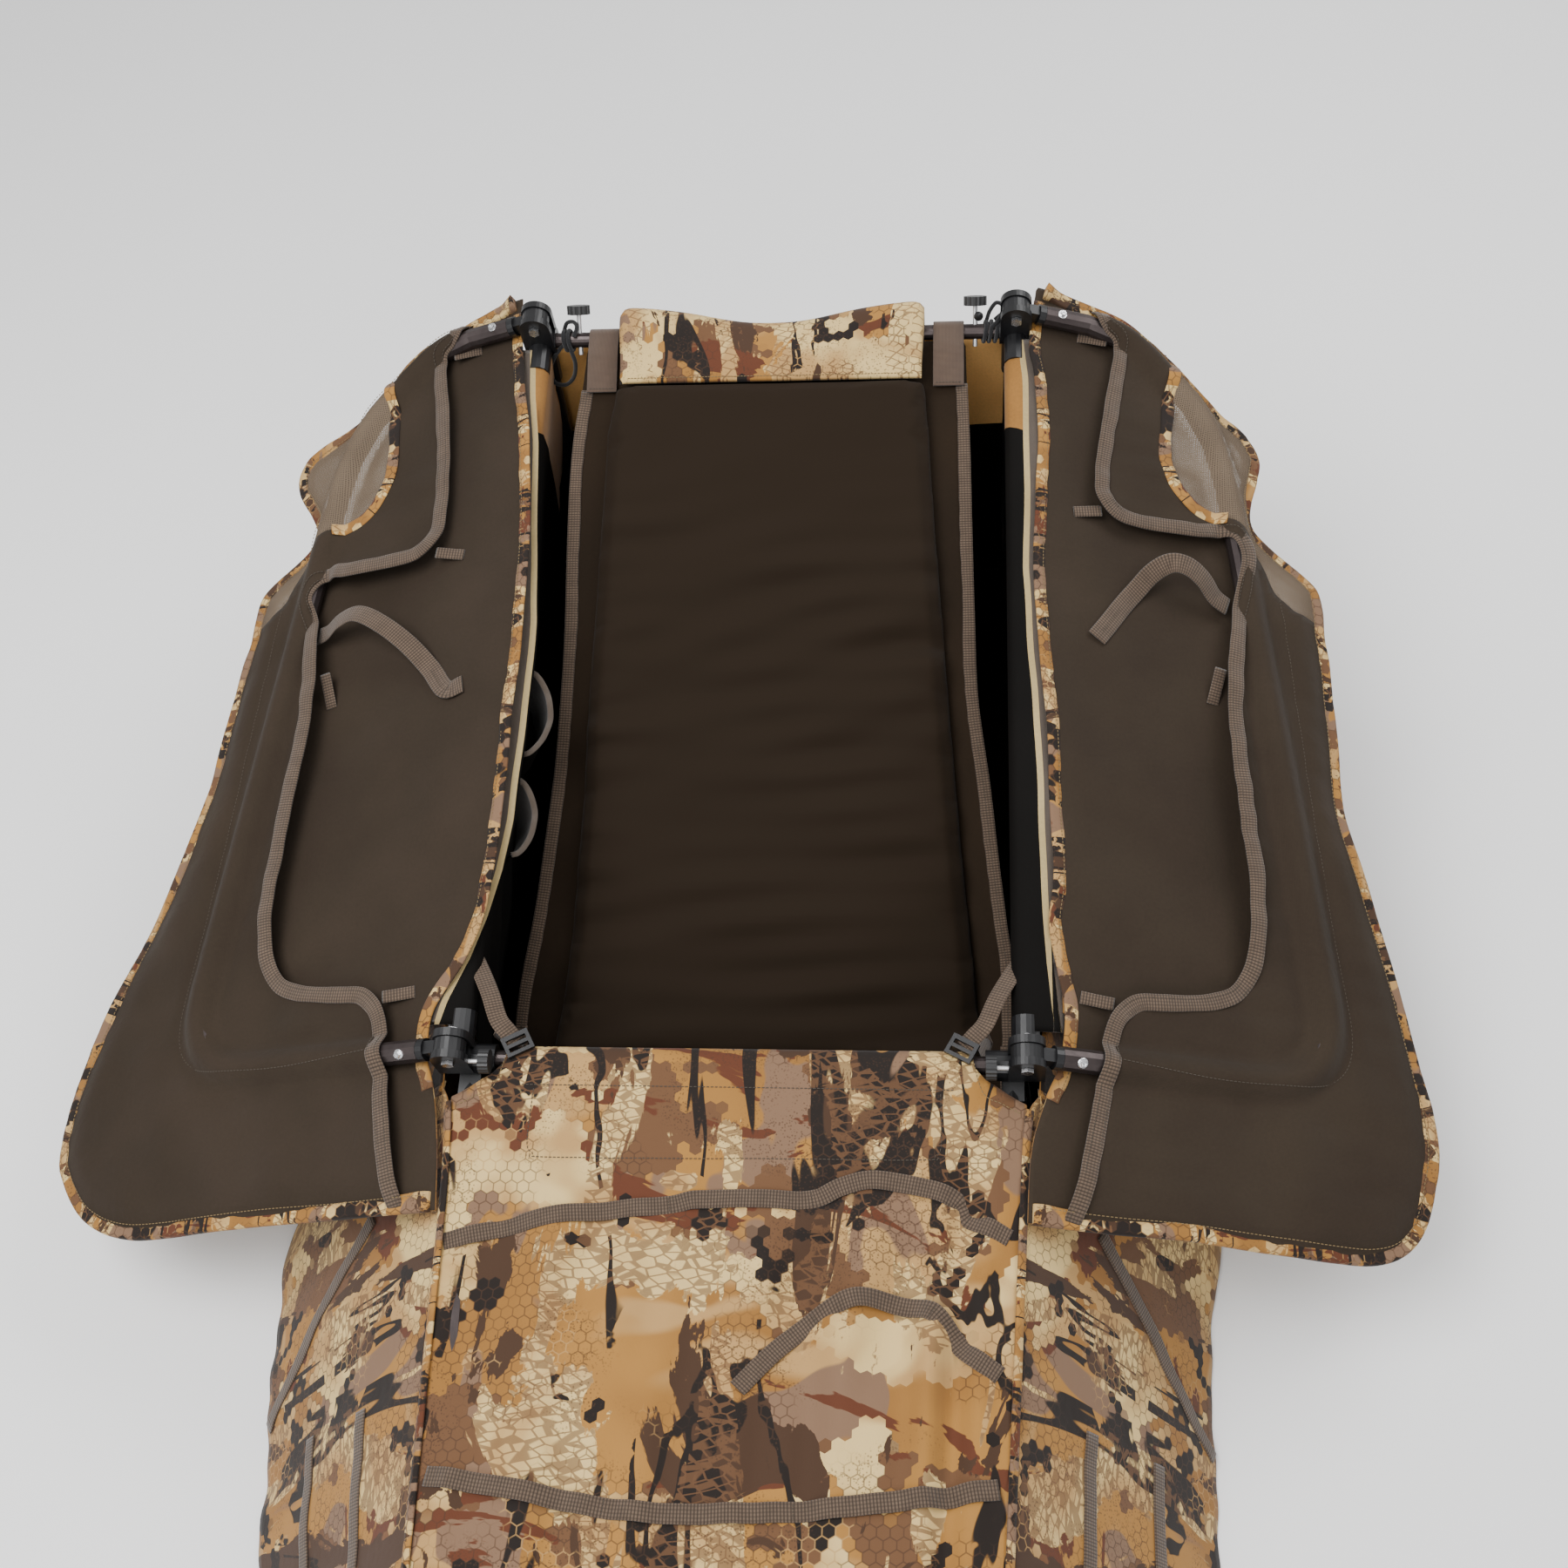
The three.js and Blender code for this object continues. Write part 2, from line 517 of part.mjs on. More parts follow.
function buildSide(side, mirror, strap) {
  const outer = new THREE.Group();
  outer.scale.x = mirror;
  root.add(outer);
  const lean = new THREE.Group();
  lean.position.z = HINGE_Z;
  lean.rotation.x = TILT;
  outer.add(lean);
  const door = new THREE.Group();
  door.position.x = HINGE_X;
  door.rotation.y = DOOR_SLOPE;
  lean.add(door);
  const name = (part) => `${part}_${side}`;

  const railFrom = [HINGE_X, 18, -RAIL_DROP];
  const railTo = [HINGE_X, 932, -RAIL_DROP];
  add(lean, name('side_rail'), tube(railFrom, railTo, RAIL_R, RAIL_R - RAIL_WALL), tubeFinish);
  const footFrom = step(footRailStart, railDirection, 15.5);
  const footTo = step(FOOT_CONNECTOR, railDirection, -18.5);
  add(outer, name('foot_rail'), tube(footFrom, footTo, RAIL_R, RAIL_R - RAIL_WALL), tubeFinish);
  add(lean, name('head_connector'), headConnector(), blackPlastic);
  add(lean, name('mid_connector'), midConnector(), blackPlastic);
  add(outer, name('foot_connector'), footConnector(), blackPlastic);
  add(lean, name('head_hinge_bolt'), hingeBolt(OPENING), steel);
  add(lean, name('mid_hinge_bolt'), hingeBolt(0), steel);
  add(outer, name('head_knob'), headKnob(), blackPlastic);
  add(lean, name('mid_knob'), midKnob(), blackPlastic);

  const [, headY, headZ] = headTubeCentre;
  const [footX, footY, footZ] = FOOT_CONNECTOR;
  add(outer, name('head_leg_sleeve'), tube(
    [HINGE_X, headY, HEAD_SLEEVE_BOTTOM],
    [HINGE_X, headY, headZ - 24],
    LEG_SLEEVE_R,
    LEG_SLEEVE_BORE_R,
    20,
  ), tubeFinish);
  add(outer, name('foot_leg_sleeve'), tube(
    [footX, footY, FOOT_SLEEVE_BOTTOM],
    [footX, footY, footZ - 24],
    LEG_SLEEVE_R,
    LEG_SLEEVE_BORE_R,
    20,
  ), tubeFinish);
  add(outer, name('head_leg'), leg(HINGE_X, headY, HEAD_LEG_TOP), tubeFinish);
  add(outer, name('foot_leg'), leg(footX, footY, FOOT_LEG_TOP), tubeFinish);

  const linerHead = railPoint(885, 13);
  const linerFoot = railPoint(62, 13);
  add(outer, name('side_liner'), skin([
    [linerFoot, linerHead],
    [[333, linerFoot[1], FLOOR_Z + CLOTH + GAP], [333, linerHead[1], FLOOR_Z + CLOTH + GAP]],
  ], [2.5, 0, 0]), darkCloth);
  add(outer, name('head_skirt'), skin([
    [worldOf([323, 30, -45]), worldOf([323, 930, -45])],
    [[530, 20, HEM_Z], [530, 996, HEM_Z]],
  ], [CLOTH, 0, 0]), camo);
  add(outer, name('foot_skirt'), skin([
    [[301, -36, 304], [294, -170, 281], [253, -893, 238]],
    [[530, 14, HEM_Z], [516, -170, HEM_Z], [468, -925, HEM_Z]],
  ], [CLOTH, 0, 0]), camo);

  const [, tubeY, tubeZ] = headTubeCentre;
  const loopRing = tube([198, tubeY, tubeZ], [236, tubeY, tubeZ], 12.2, CROSS_R + 0.4);
  const loopTail = prism(
    outline([[198, -75], [236, -75], [236, -5], [198, -5]]),
    2,
    step(slingOrigin, [0, -Math.sin(slingSlope), Math.cos(slingSlope)], GAP),
    [1, 0, 0],
    upSlope,
  );
  add(outer, name('sling_loop'), loopRing.add(loopTail), webbing);

  const strapFrom = new THREE.Vector3(240, 28, 320);
  const strapTo = new THREE.Vector3(276, 92, 334);
  const strapAlong = strapTo.clone().sub(strapFrom).normalize();
  const strapSide = new THREE.Vector3(strapAlong.y, -strapAlong.x, 0).normalize();
  const strapLength = strapFrom.distanceTo(strapTo);
  add(outer, name('hip_strap'), prism(
    outline([[-10, 0], [10, 0], [10, strapLength], [-10, strapLength]]),
    2,
    strapFrom.toArray(),
    strapSide.toArray(),
    strapAlong.toArray(),
  ), webbing);
  const buckleShape = outline([[-15, -24], [15, -24], [15, -1], [-15, -1]]);
  for (const low of [-20, -11]) {
    buckleShape.holes.push(outline([[-11, low], [11, low], [11, low + 5], [-11, low + 5]]));
  }
  add(outer, name('strap_buckle'), prism(
    buckleShape,
    5,
    strapFrom.toArray(),
    strapSide.toArray(),
    strapAlong.toArray(),
  ), blackPlastic);

  add(door, name('door_socket_foot'), doorSocket(0), blackPlastic);
  add(door, name('door_socket_head'), doorSocket(OPENING), blackPlastic);
  add(door, name('door_tube'), doorTube(), tubeFinish);
  const onDoor = [[1, 0, 0], [0, 1, 0]];
  add(door, name('door_panel'), prism(outline(doorOutline), PANEL_THICK, [0, 0, PANEL_BACK], ...onDoor), liner);
  add(door, name('door_flap'), prism(outline(flapOutline), FLAP_THICK, [0, 0, FLAP_FRONT], ...onDoor), liner);
  add(door, name('door_handle'), pullStrap(strap.root, strap.tip), webbing);
}

buildSide('right', 1, { root: [245, 590], tip: [105, 520] });
buildSide('left', -1, { root: [255, 550], tip: [75, 455] });

root.updateMatrixWorld(true);
const bounds = new THREE.Box3().setFromObject(root, true);
root.position.y = -(bounds.min.y + bounds.max.y) / 2;

export default root;
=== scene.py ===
# Looks of the layout field blind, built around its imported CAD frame. Metres, same frame as the CAD.
import math

import bmesh
import bpy
import numpy as np
from mathutils import Matrix, Vector

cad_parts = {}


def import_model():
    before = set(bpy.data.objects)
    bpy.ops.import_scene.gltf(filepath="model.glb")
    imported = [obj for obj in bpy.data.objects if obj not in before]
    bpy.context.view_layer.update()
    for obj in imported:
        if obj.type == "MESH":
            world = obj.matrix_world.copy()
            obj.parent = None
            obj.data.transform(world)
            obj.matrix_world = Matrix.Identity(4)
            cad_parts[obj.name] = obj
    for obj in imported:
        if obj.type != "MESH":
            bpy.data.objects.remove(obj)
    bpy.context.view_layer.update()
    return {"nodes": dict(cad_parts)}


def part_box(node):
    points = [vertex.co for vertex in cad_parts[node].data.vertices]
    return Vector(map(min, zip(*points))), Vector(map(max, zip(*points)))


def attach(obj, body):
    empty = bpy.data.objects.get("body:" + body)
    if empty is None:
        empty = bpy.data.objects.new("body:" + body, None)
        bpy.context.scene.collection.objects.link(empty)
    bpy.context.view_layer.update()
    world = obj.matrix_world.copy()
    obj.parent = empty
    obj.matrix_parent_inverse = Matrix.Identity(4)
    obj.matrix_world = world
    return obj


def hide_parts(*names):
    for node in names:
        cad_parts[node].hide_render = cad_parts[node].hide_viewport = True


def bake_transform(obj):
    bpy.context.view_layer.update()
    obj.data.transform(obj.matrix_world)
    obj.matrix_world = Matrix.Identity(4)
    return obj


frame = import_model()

MM = 0.001
SIDES = ("left", "right")
SIGN = {"left": -1.0, "right": 1.0}
DOOR_SLOPE = math.radians(20)
RAIL_DROP = 40.0
HINGE_X = 300.0
DOOR_TUBE_R = 12.7


# ---------------------------------------------------------------- frames of reference, from the CAD
def centre(node):
    low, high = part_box(node)
    return np.array((low + high) / 2)


MID_TUBE = centre("mid_cross_tube")
HEAD_TUBE = centre("head_cross_tube")
EX = np.array([1.0, 0.0, 0.0])
ALONG = (HEAD_TUBE - MID_TUBE) / np.linalg.norm(HEAD_TUBE - MID_TUBE)
UP = np.cross(EX, ALONG)
HINGE_ORIGIN = MID_TUBE + UP * RAIL_DROP * MM


def lean(x, v, w):
    """A point in the hinge plane's frame: x across, v towards the head, w off the plane, in mm."""
    x, v, w = np.broadcast_arrays(np.asarray(x, float), v, w)
    return HINGE_ORIGIN + MM * (x[..., None] * EX + v[..., None] * ALONG + w[..., None] * UP)


def world(x, y, z):
    """A point in mm, with y counted from the lower hinges and z from the ground."""
    x, y, z = np.broadcast_arrays(np.asarray(x, float), y, z)
    return np.stack([x * MM, y * MM + HINGE_ORIGIN[1], z * MM], -1)


def door_axes(side):
    s = SIGN[side]
    out = EX * s * math.cos(DOOR_SLOPE) - UP * math.sin(DOOR_SLOPE)
    normal = EX * s * math.sin(DOOR_SLOPE) + UP * math.cos(DOOR_SLOPE)
    return out, normal


def on_door(side, u, v, n):
    """A point on an open door: u outwards, v towards the head, n off the door, in mm."""
    out, normal = door_axes(side)
    u, v, n = np.broadcast_arrays(np.asarray(u, float), v, n)
    hinge = HINGE_ORIGIN + EX * SIGN[side] * HINGE_X * MM
    return hinge + MM * (u[..., None] * out + v[..., None] * ALONG + n[..., None] * normal)


SLING_TOP = (937.0, 510.0)
SLING_HIP = (110.0, 92.0)
SLOPE = math.atan2(SLING_TOP[1] - SLING_HIP[1], SLING_TOP[0] - SLING_HIP[0])
SLING_UP = np.array([0, -math.sin(SLOPE), math.cos(SLOPE)])


def on_slope(down, height=0.0):
    """(y, z) at a distance down the sling's straight part and a height off it, in mm."""
    return (SLING_TOP[0] - down * math.cos(SLOPE) - height * math.sin(SLOPE),
            SLING_TOP[1] - down * math.sin(SLOPE) + height * math.cos(SLOPE))


# ---------------------------------------------------------------- small numeric helpers
def lerp(table, at, column=1):
    """Linear look-up in a table of rows sorted by their first value."""
    rows = np.array(table, float)
    return np.interp(at, rows[:, 0], rows[:, column])


def under_line(heights, at):
    """Area under a line of heights."""
    return float((np.diff(at) * (heights[1:] + heights[:-1]) / 2).sum())


def bump(x, middle, width):
    return np.exp(-(((np.asarray(x, float) - middle) / width) ** 2))


def smoothstep(x, low, high):
    t = np.clip((np.asarray(x, float) - low) / (high - low), 0, 1)
    return t * t * (3 - 2 * t)


def unit(vectors):
    """The same directions at length 1."""
    return vectors / np.maximum(np.linalg.norm(vectors, axis=-1, keepdims=True), 1e-12)


def run_along(line):
    """Distance run at each point of a line."""
    return np.concatenate([[0], np.cumsum(np.linalg.norm(np.diff(line, axis=0), axis=1))])


def ripple(a, b, seed, longest, shortest, waves=9):
    """Smooth seeded noise of two coordinates in mm, about -1 to 1."""
    rng = np.random.default_rng(seed)
    total = np.zeros(np.broadcast(a, b).shape)
    for _ in range(waves):
        length = shortest * (longest / shortest) ** rng.random()
        turn = rng.random() * 2 * math.pi
        phase = rng.random() * 2 * math.pi
        k = 2 * math.pi / length
        bend = 0.5 * np.sin(2 * math.pi * b / (longest * 1.7) + phase)
        total += np.sin(k * (a * math.cos(turn) + b * math.sin(turn)) + phase + bend)
    return total / math.sqrt(waves * 2)


def spline(points, count):
    """Catmull-Rom points spaced evenly along a smooth line through the given ones."""
    p = np.array(points, float)
    p = np.vstack([2 * p[0] - p[1], p, 2 * p[-1] - p[-2]])
    dense = []
    for i in range(1, len(p) - 2):
        t = np.linspace(0, 1, 24, endpoint=False)[:, None]
        a, b, c, d = p[i - 1], p[i], p[i + 1], p[i + 2]
        dense.append(0.5 * (2 * b + (c - a) * t + (2 * a - 5 * b + 4 * c - d) * t**2
                            + (3 * b - a - 3 * c + d) * t**3))
    dense = np.vstack([*dense, p[-2][None]])
    run = run_along(dense)
    at = np.linspace(0, run[-1], count)
    return np.stack([np.interp(at, run, dense[:, k]) for k in range(p.shape[1])], -1)


def distance_to(points, line):
    """Distance of each point to a polyline, in the same units."""
    flat = points.reshape(-1, points.shape[-1])
    best = np.full(len(flat), 1e9)
    for a, b in zip(line[:-1], line[1:]):
        d = b - a
        t = np.clip(((flat - a) @ d) / max(d @ d, 1e-9), 0, 1)
        best = np.minimum(best, np.linalg.norm(flat - a - t[:, None] * d, axis=1))
    return best.reshape(points.shape[:-1])


def inside(points, polygon):
    """True for the points that lie inside a polygon."""
    x, y = points[..., 0], points[..., 1]
    hit = np.zeros(x.shape, bool)
    poly = np.array(polygon, float)
    for (ax, ay), (bx, by) in zip(poly, np.roll(poly, -1, 0)):
        cross = (ay > y) != (by > y)
        with np.errstate(divide="ignore", invalid="ignore"):
            hit ^= cross & (x < (bx - ax) * (y - ay) / (by - ay) + ax)
    return hit


# ---------------------------------------------------------------- mesh builders
def mesh_object(name, verts, faces, uvs, materials, face_material=None, smooth=True):
    """uvs holds one pair for each vertex, in metres."""
    mesh = bpy.data.meshes.new(name)
    mesh.from_pydata([tuple(v) for v in np.asarray(verts, float)], [], [tuple(f) for f in faces])
    layer = mesh.uv_layers.new(name="UVMap")
    index = np.empty(len(mesh.loops), np.int32)
    mesh.loops.foreach_get("vertex_index", index)
    layer.data.foreach_set("uv", np.asarray(uvs, np.float32)[index].ravel())
    for material in materials:
        mesh.materials.append(material)
    if face_material is not None:
        mesh.polygons.foreach_set("material_index", np.asarray(face_material, np.int32))
    mesh.polygons.foreach_set("use_smooth", np.full(len(mesh.polygons), smooth))
    mesh.validate()
    mesh.update()
    piece = bpy.data.objects.new(name, mesh)
    bpy.context.scene.collection.objects.link(piece)
    return piece


def grid_normals(points, flip=False):
    du = np.gradient(points, axis=0)
    dv = np.gradient(points, axis=1)
    n = unit(np.cross(du, dv))
    return -n if flip else n


def cloth(name, points, uv, thick, materials, flip=False, keep=None, under=None, over=None):
    """A thin closed cloth over a grid of points: its face is on the points, its back is thick mm behind.
    materials are those of the face and the back; over and under give a material index for each cell."""
    nu, nv = points.shape[:2]
    normal = grid_normals(points, flip)
    verts = np.concatenate([points.reshape(-1, 3), (points - normal * thick * MM).reshape(-1, 3)])
    uvs = np.concatenate([uv.reshape(-1, 2)] * 2)
    shift = nu * nv
    keep = np.ones((nu - 1, nv - 1), bool) if keep is None else keep
    faces, kinds, edges = [], [], {}
    for i, j in zip(*np.nonzero(keep)):
        a, b = i * nv + j, (i + 1) * nv + j
        ring = [a, b, b + 1, a + 1]
        if flip:
            ring.reverse()
        faces.append(ring)
        kinds.append(0 if over is None else int(over[i, j]))
        faces.append([k + shift for k in reversed(ring)])
        kinds.append(1 if under is None else int(under[i, j]))
        for p, q in zip(ring, ring[1:] + ring[:1]):
            if (q, p) in edges:
                del edges[(q, p)]
            else:
                edges[(p, q)] = True
    for p, q in edges:
        faces.append([q, p, p + shift, q + shift])
        kinds.append(1)
    used = np.zeros(len(verts), bool)
    used[np.unique(np.concatenate([np.array(f) for f in faces]))] = True
    remap = np.cumsum(used) - 1
    faces = [[int(remap[k]) for k in f] for f in faces]
    return tidy_normals(mesh_object(name, verts[used], faces, uvs[used], materials, kinds))


def tube_faces(rows, count, closed=False):
    """Faces of a tube of rows rings of count points: a loop when closed, or else with a cap at each end."""
    faces = [(i * count + j, i * count + (j + 1) % count,
              (i + 1) % rows * count + (j + 1) % count, (i + 1) % rows * count + j)
             for i in range(rows if closed else rows - 1) for j in range(count)]
    if not closed:
        faces += [tuple(reversed(range(count))), tuple((rows - 1) * count + j for j in range(count))]
    return faces


def section_rows(section, rows):
    """One section for each of the rows, given one for all of them or one each."""
    section = np.asarray(section, float)
    return np.broadcast_to(section, (rows, *section.shape[-2:]))


def tube_uvs(run, section):
    """Metres along the tube and round it, for a run in metres and a section in mm."""
    return np.stack(np.broadcast_arrays(run[:, None], run_along(section)[None] * MM), -1).reshape(-1, 2)


def sweep(name, path, normals, section, material, closed=False):
    """Sweeps a closed section, pairs of (sideways, outwards) in mm, along a path in metres."""
    path = np.asarray(path, float)
    if closed:
        tangent = unit(np.roll(path, -1, 0) - np.roll(path, 1, 0))
    else:
        tangent = unit(np.gradient(path, axis=0))
    side = unit(np.cross(tangent, np.broadcast_to(np.asarray(normals, float), path.shape)))
    out = np.cross(side, tangent)
    section = section_rows(section, len(path))
    verts = path[:, None] + MM * (section[..., 0:1] * side[:, None] + section[..., 1:2] * out[:, None])
    return tidy_normals(mesh_object(name, verts.reshape(-1, 3), tube_faces(*section.shape[:2], closed),
                                    tube_uvs(run_along(path), section[0]), [material]))


def strap_section(width, thick, lift=0.0, shift=0.0):
    """A flat strap's section with softened edges."""
    w, r = width / 2, min(thick / 2, 0.8)
    ring = [(-w, r), (-w + r, 0), (w - r, 0), (w, r), (w, thick - r), (w - r, thick),
            (w - 4 * r, thick + 0.25), (-w + 4 * r, thick + 0.25), (-w + r, thick), (-w, thick - r)]
    return [(a + shift, b + lift) for a, b in ring]


def round_section(radius, sides=10):
    at = np.arange(sides) * 2 * math.pi / sides
    return np.stack([radius * np.cos(at), radius * np.sin(at)], -1)


def stitches(name, path, normals, material, pitch=4.6, length=3.1, width=0.75, height=0.55, sink=0.15):
    """A row of single stitches along a path in metres, as small rounded bars on the cloth."""
    path = np.asarray(path, float)
    normals = np.broadcast_to(np.asarray(normals, float), path.shape)
    run = run_along(path)
    count = max(int(run[-1] / (pitch * MM)), 2)
    at = (np.arange(count) + 0.5) * run[-1] / count

    def looked_up(at, rows):
        return np.stack([np.interp(at, run, rows[:, k]) for k in range(3)], -1)

    here = looked_up(at, path)
    t = unit(looked_up(at + MM, path) - looked_up(at - MM, path))
    s = unit(np.cross(t, looked_up(at, normals)))
    n = np.cross(s, t)
    shape = []
    for a, h in ((-0.5, -sink), (-0.32, height), (0.32, height), (0.5, -sink)):
        for b in (-0.5, 0.5):
            shape.append((a * length, b * width, h))
    shape = np.array(shape) * MM
    verts = (here[:, None] + shape[None, :, 0:1] * t[:, None] + shape[None, :, 1:2] * s[:, None]
             + shape[None, :, 2:3] * n[:, None])
    quads = [(0, 1, 3, 2), (2, 3, 5, 4), (4, 5, 7, 6), (6, 7, 1, 0), (0, 2, 4, 6), (1, 7, 5, 3)]
    faces = [tuple(8 * i + k for k in q) for i in range(count) for q in quads]
    return mesh_object(name, verts.reshape(-1, 3), faces, np.zeros((count * 8, 2)), [material], smooth=False)


def tidy_normals(piece):
    """Turns all of a piece's faces outwards."""
    made = bmesh.new()
    made.from_mesh(piece.data)
    bmesh.ops.recalc_face_normals(made, faces=made.faces)
    made.to_mesh(piece.data)
    made.free()
    return piece


def fit(piece, body, stands_for=None):
    """Puts a piece on its body and hides the CAD node that it stands for."""
    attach(piece, body)
    if stands_for:
        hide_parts(stands_for)
    return piece


# ---------------------------------------------------------------- materials
def node(tree, kind, values=None, **settings):
    made = tree.nodes.new(kind)
    for key, value in settings.items():
        setattr(made, key, value)
    for key, value in (values or {}).items():
        if isinstance(value, bpy.types.NodeSocket):
            tree.links.new(value, made.inputs[key])
        else:
            made.inputs[key].default_value = value
    return made


def math_node(tree, operation, a, b=None, c=None, clamp=False):
    values = {0: a}
    if b is not None:
        values[1] = b
    if c is not None:
        values[2] = c
    return node(tree, "ShaderNodeMath", values, operation=operation, use_clamp=clamp).outputs[0]


def mix_colour(tree, factor, a, b, blend="MIX"):
    made = tree.nodes.new("ShaderNodeMix")
    made.data_type = "RGBA"
    made.blend_type = blend
    for key, value in ((0, factor), (6, a), (7, b)):
        if isinstance(value, bpy.types.NodeSocket):
            tree.links.new(value, made.inputs[key])
        else:
            made.inputs[key].default_value = value if key == 0 else (*value, 1.0)
    return made.outputs[2]


def edge_mask(tree, value, low, high):
    made = node(tree, "ShaderNodeMapRange", {0: value, 1: low, 2: high, 3: 0.0, 4: 1.0})
    made.interpolation_type = "SMOOTHSTEP"
    return made.outputs[0]


def noise_at(tree, vector, scale, detail=2.0, rough=0.5, distortion=0.0):
    return node(tree, "ShaderNodeTexNoise", {
        "Vector": vector, "Scale": scale, "Detail": detail, "Roughness": rough, "Distortion": distortion,
    }, noise_dimensions="3D").outputs[0]


def mapped(tree, vector, scale=(1, 1, 1), location=(0, 0, 0), rotation=0.0):
    return node(tree, "ShaderNodeMapping", {
        "Vector": vector, "Scale": scale, "Location": location, "Rotation": (0, 0, rotation),
    }).outputs[0]


def new_material(name, roughness, metallic=0.0, sheen=0.0, specular=0.5):
    material = bpy.data.materials.new(name)
    material.use_nodes = True
    tree = material.node_tree
    shader = tree.nodes["Principled BSDF"]
    shader.inputs["Roughness"].default_value = roughness
    shader.inputs["Metallic"].default_value = metallic
    shader.inputs["Specular IOR Level"].default_value = specular
    if sheen:
        shader.inputs["Sheen Weight"].default_value = sheen
        shader.inputs["Sheen Roughness"].default_value = 0.5
    return material, tree, shader


def uv_of(tree):
    return node(tree, "ShaderNodeTexCoord").outputs["UV"]


def object_of(tree):
    return node(tree, "ShaderNodeTexCoord").outputs["Object"]


def ridges(tree, at, k):
    """Even ridges from 0 to 1 across a coordinate, one in each pi / k of it."""
    return math_node(tree, "ABSOLUTE", math_node(tree, "SINE", math_node(tree, "MULTIPLY", at, k)))


def weave_height(tree, uv, pitch):
    """Height of a plain weave with that thread pitch in metres."""
    k = math.pi / pitch
    split = node(tree, "ShaderNodeSeparateXYZ", {0: uv})
    a = math_node(tree, "SINE", math_node(tree, "MULTIPLY", split.outputs[0], k))
    b = math_node(tree, "SINE", math_node(tree, "MULTIPLY", split.outputs[1], k))
    return math_node(tree, "ABSOLUTE", math_node(tree, "MULTIPLY", a, b))


def bumped(tree, shader, height, distance, strength=1.0, before=None):
    values = {"Height": height, "Distance": distance, "Strength": strength}
    if before is not None:
        values["Normal"] = before
    made = node(tree, "ShaderNodeBump", values)
    tree.links.new(made.outputs[0], shader.inputs["Normal"])
    return made.outputs[0]


def fabric(name, dark, light, pitch=0.0011, roughness=0.82, sheen=0.12, wrinkle=0.0012, specular=0.25):
    """Coated plain-weave polyester with a slight tone change and small creases."""
    material, tree, shader = new_material(name, roughness, sheen=sheen, specular=specular)
    uv = uv_of(tree)
    weave = weave_height(tree, uv, pitch)
    broad = noise_at(tree, uv, 5.0, 3.0, 0.55)
    fine = noise_at(tree, uv, 260.0, 2.0, 0.6)
    tone = edge_mask(tree, broad, 0.3, 0.7)
    colour = mix_colour(tree, tone, dark, light)
    shade = math_node(tree, "MULTIPLY_ADD", weave, 0.22, 0.86)
    shade = math_node(tree, "MULTIPLY", shade, math_node(tree, "MULTIPLY_ADD", fine, 0.3, 0.85))
    grey = node(tree, "ShaderNodeCombineColor", {0: shade, 1: shade, 2: shade}).outputs[0]
    tree.links.new(mix_colour(tree, 1.0, colour, grey, "MULTIPLY"), shader.inputs["Base Color"])
    crease = noise_at(tree, uv, 16.0, 3.0, 0.55, 0.6)
    first = bumped(tree, shader, crease, wrinkle * 4, 0.5)
    bumped(tree, shader, weave, 0.00018, 0.5, first)
    return material


def webbing(name, dark, light, rib=0.0016):
    """Woven strap: ribs across its length, with a finer weave and pale thread tips."""
    material, tree, shader = new_material(name, 0.8, sheen=0.2, specular=0.25)
    uv = uv_of(tree)
    split = node(tree, "ShaderNodeSeparateXYZ", {0: uv})
    k = math.pi / rib
    ribs = ridges(tree, split.outputs[0], k)
    threads = ridges(tree, split.outputs[1], k * 0.9)
    height = math_node(tree, "MULTIPLY", ribs, math_node(tree, "MULTIPLY_ADD", threads, 0.6, 0.4))
    wear = noise_at(tree, uv, 60.0, 2.0, 0.6)
    factor = math_node(tree, "MULTIPLY", height, math_node(tree, "MULTIPLY_ADD", wear, 0.8, 0.5), clamp=True)
    tree.links.new(mix_colour(tree, factor, dark, light), shader.inputs["Base Color"])
    bumped(tree, shader, height, 0.0006, 0.8)
    return material


def hex_cells(tree, uv, size):
    """Distance to the edge of a hexagon lattice, 0.5 at the edges, and each cell's centre."""
    scaled = mapped(tree, uv, (1 / size, 1 / size, 1))

    def vector(operation, a, b=None):
        values = {0: a} if b is None else {0: a, 1: b}
        return node(tree, "ShaderNodeVectorMath", values, operation=operation)

    def from_nearest(flat, shift):
        """Offset from the nearest point of a rectangular lattice, shifted well into positive numbers."""
        moved = vector("ADD", flat, shift).outputs[0]
        offset = vector("MODULO", moved, (1.0, 1.7320508, 1.0)).outputs[0]
        offset = vector("SUBTRACT", offset, (0.5, 0.8660254, 0.5)).outputs[0]
        return vector("MULTIPLY", offset, (1, 1, 0)).outputs[0]

    flat = vector("MULTIPLY", scaled, (1, 1, 0)).outputs[0]
    first = from_nearest(flat, (100, 173.20508, 0))
    second = from_nearest(flat, (100.5, 174.0711054, 0))
    nearer = math_node(tree, "LESS_THAN", vector("LENGTH", first).outputs["Value"],
                       vector("LENGTH", second).outputs["Value"])
    pick = tree.nodes.new("ShaderNodeMix")
    pick.data_type = "VECTOR"
    tree.links.new(nearer, pick.inputs[0])
    tree.links.new(second, pick.inputs[4])
    tree.links.new(first, pick.inputs[5])
    local = pick.outputs[1]
    size_abs = vector("ABSOLUTE", local).outputs[0]
    slant = vector("DOT_PRODUCT", size_abs, (0.5, 0.8660254, 0)).outputs["Value"]
    side = node(tree, "ShaderNodeSeparateXYZ", {0: size_abs}).outputs[0]
    edge = math_node(tree, "MAXIMUM", slant, side)
    cell = vector("SUBTRACT", flat, local).outputs[0]
    return edge, mapped(tree, cell, (size, size, 1))


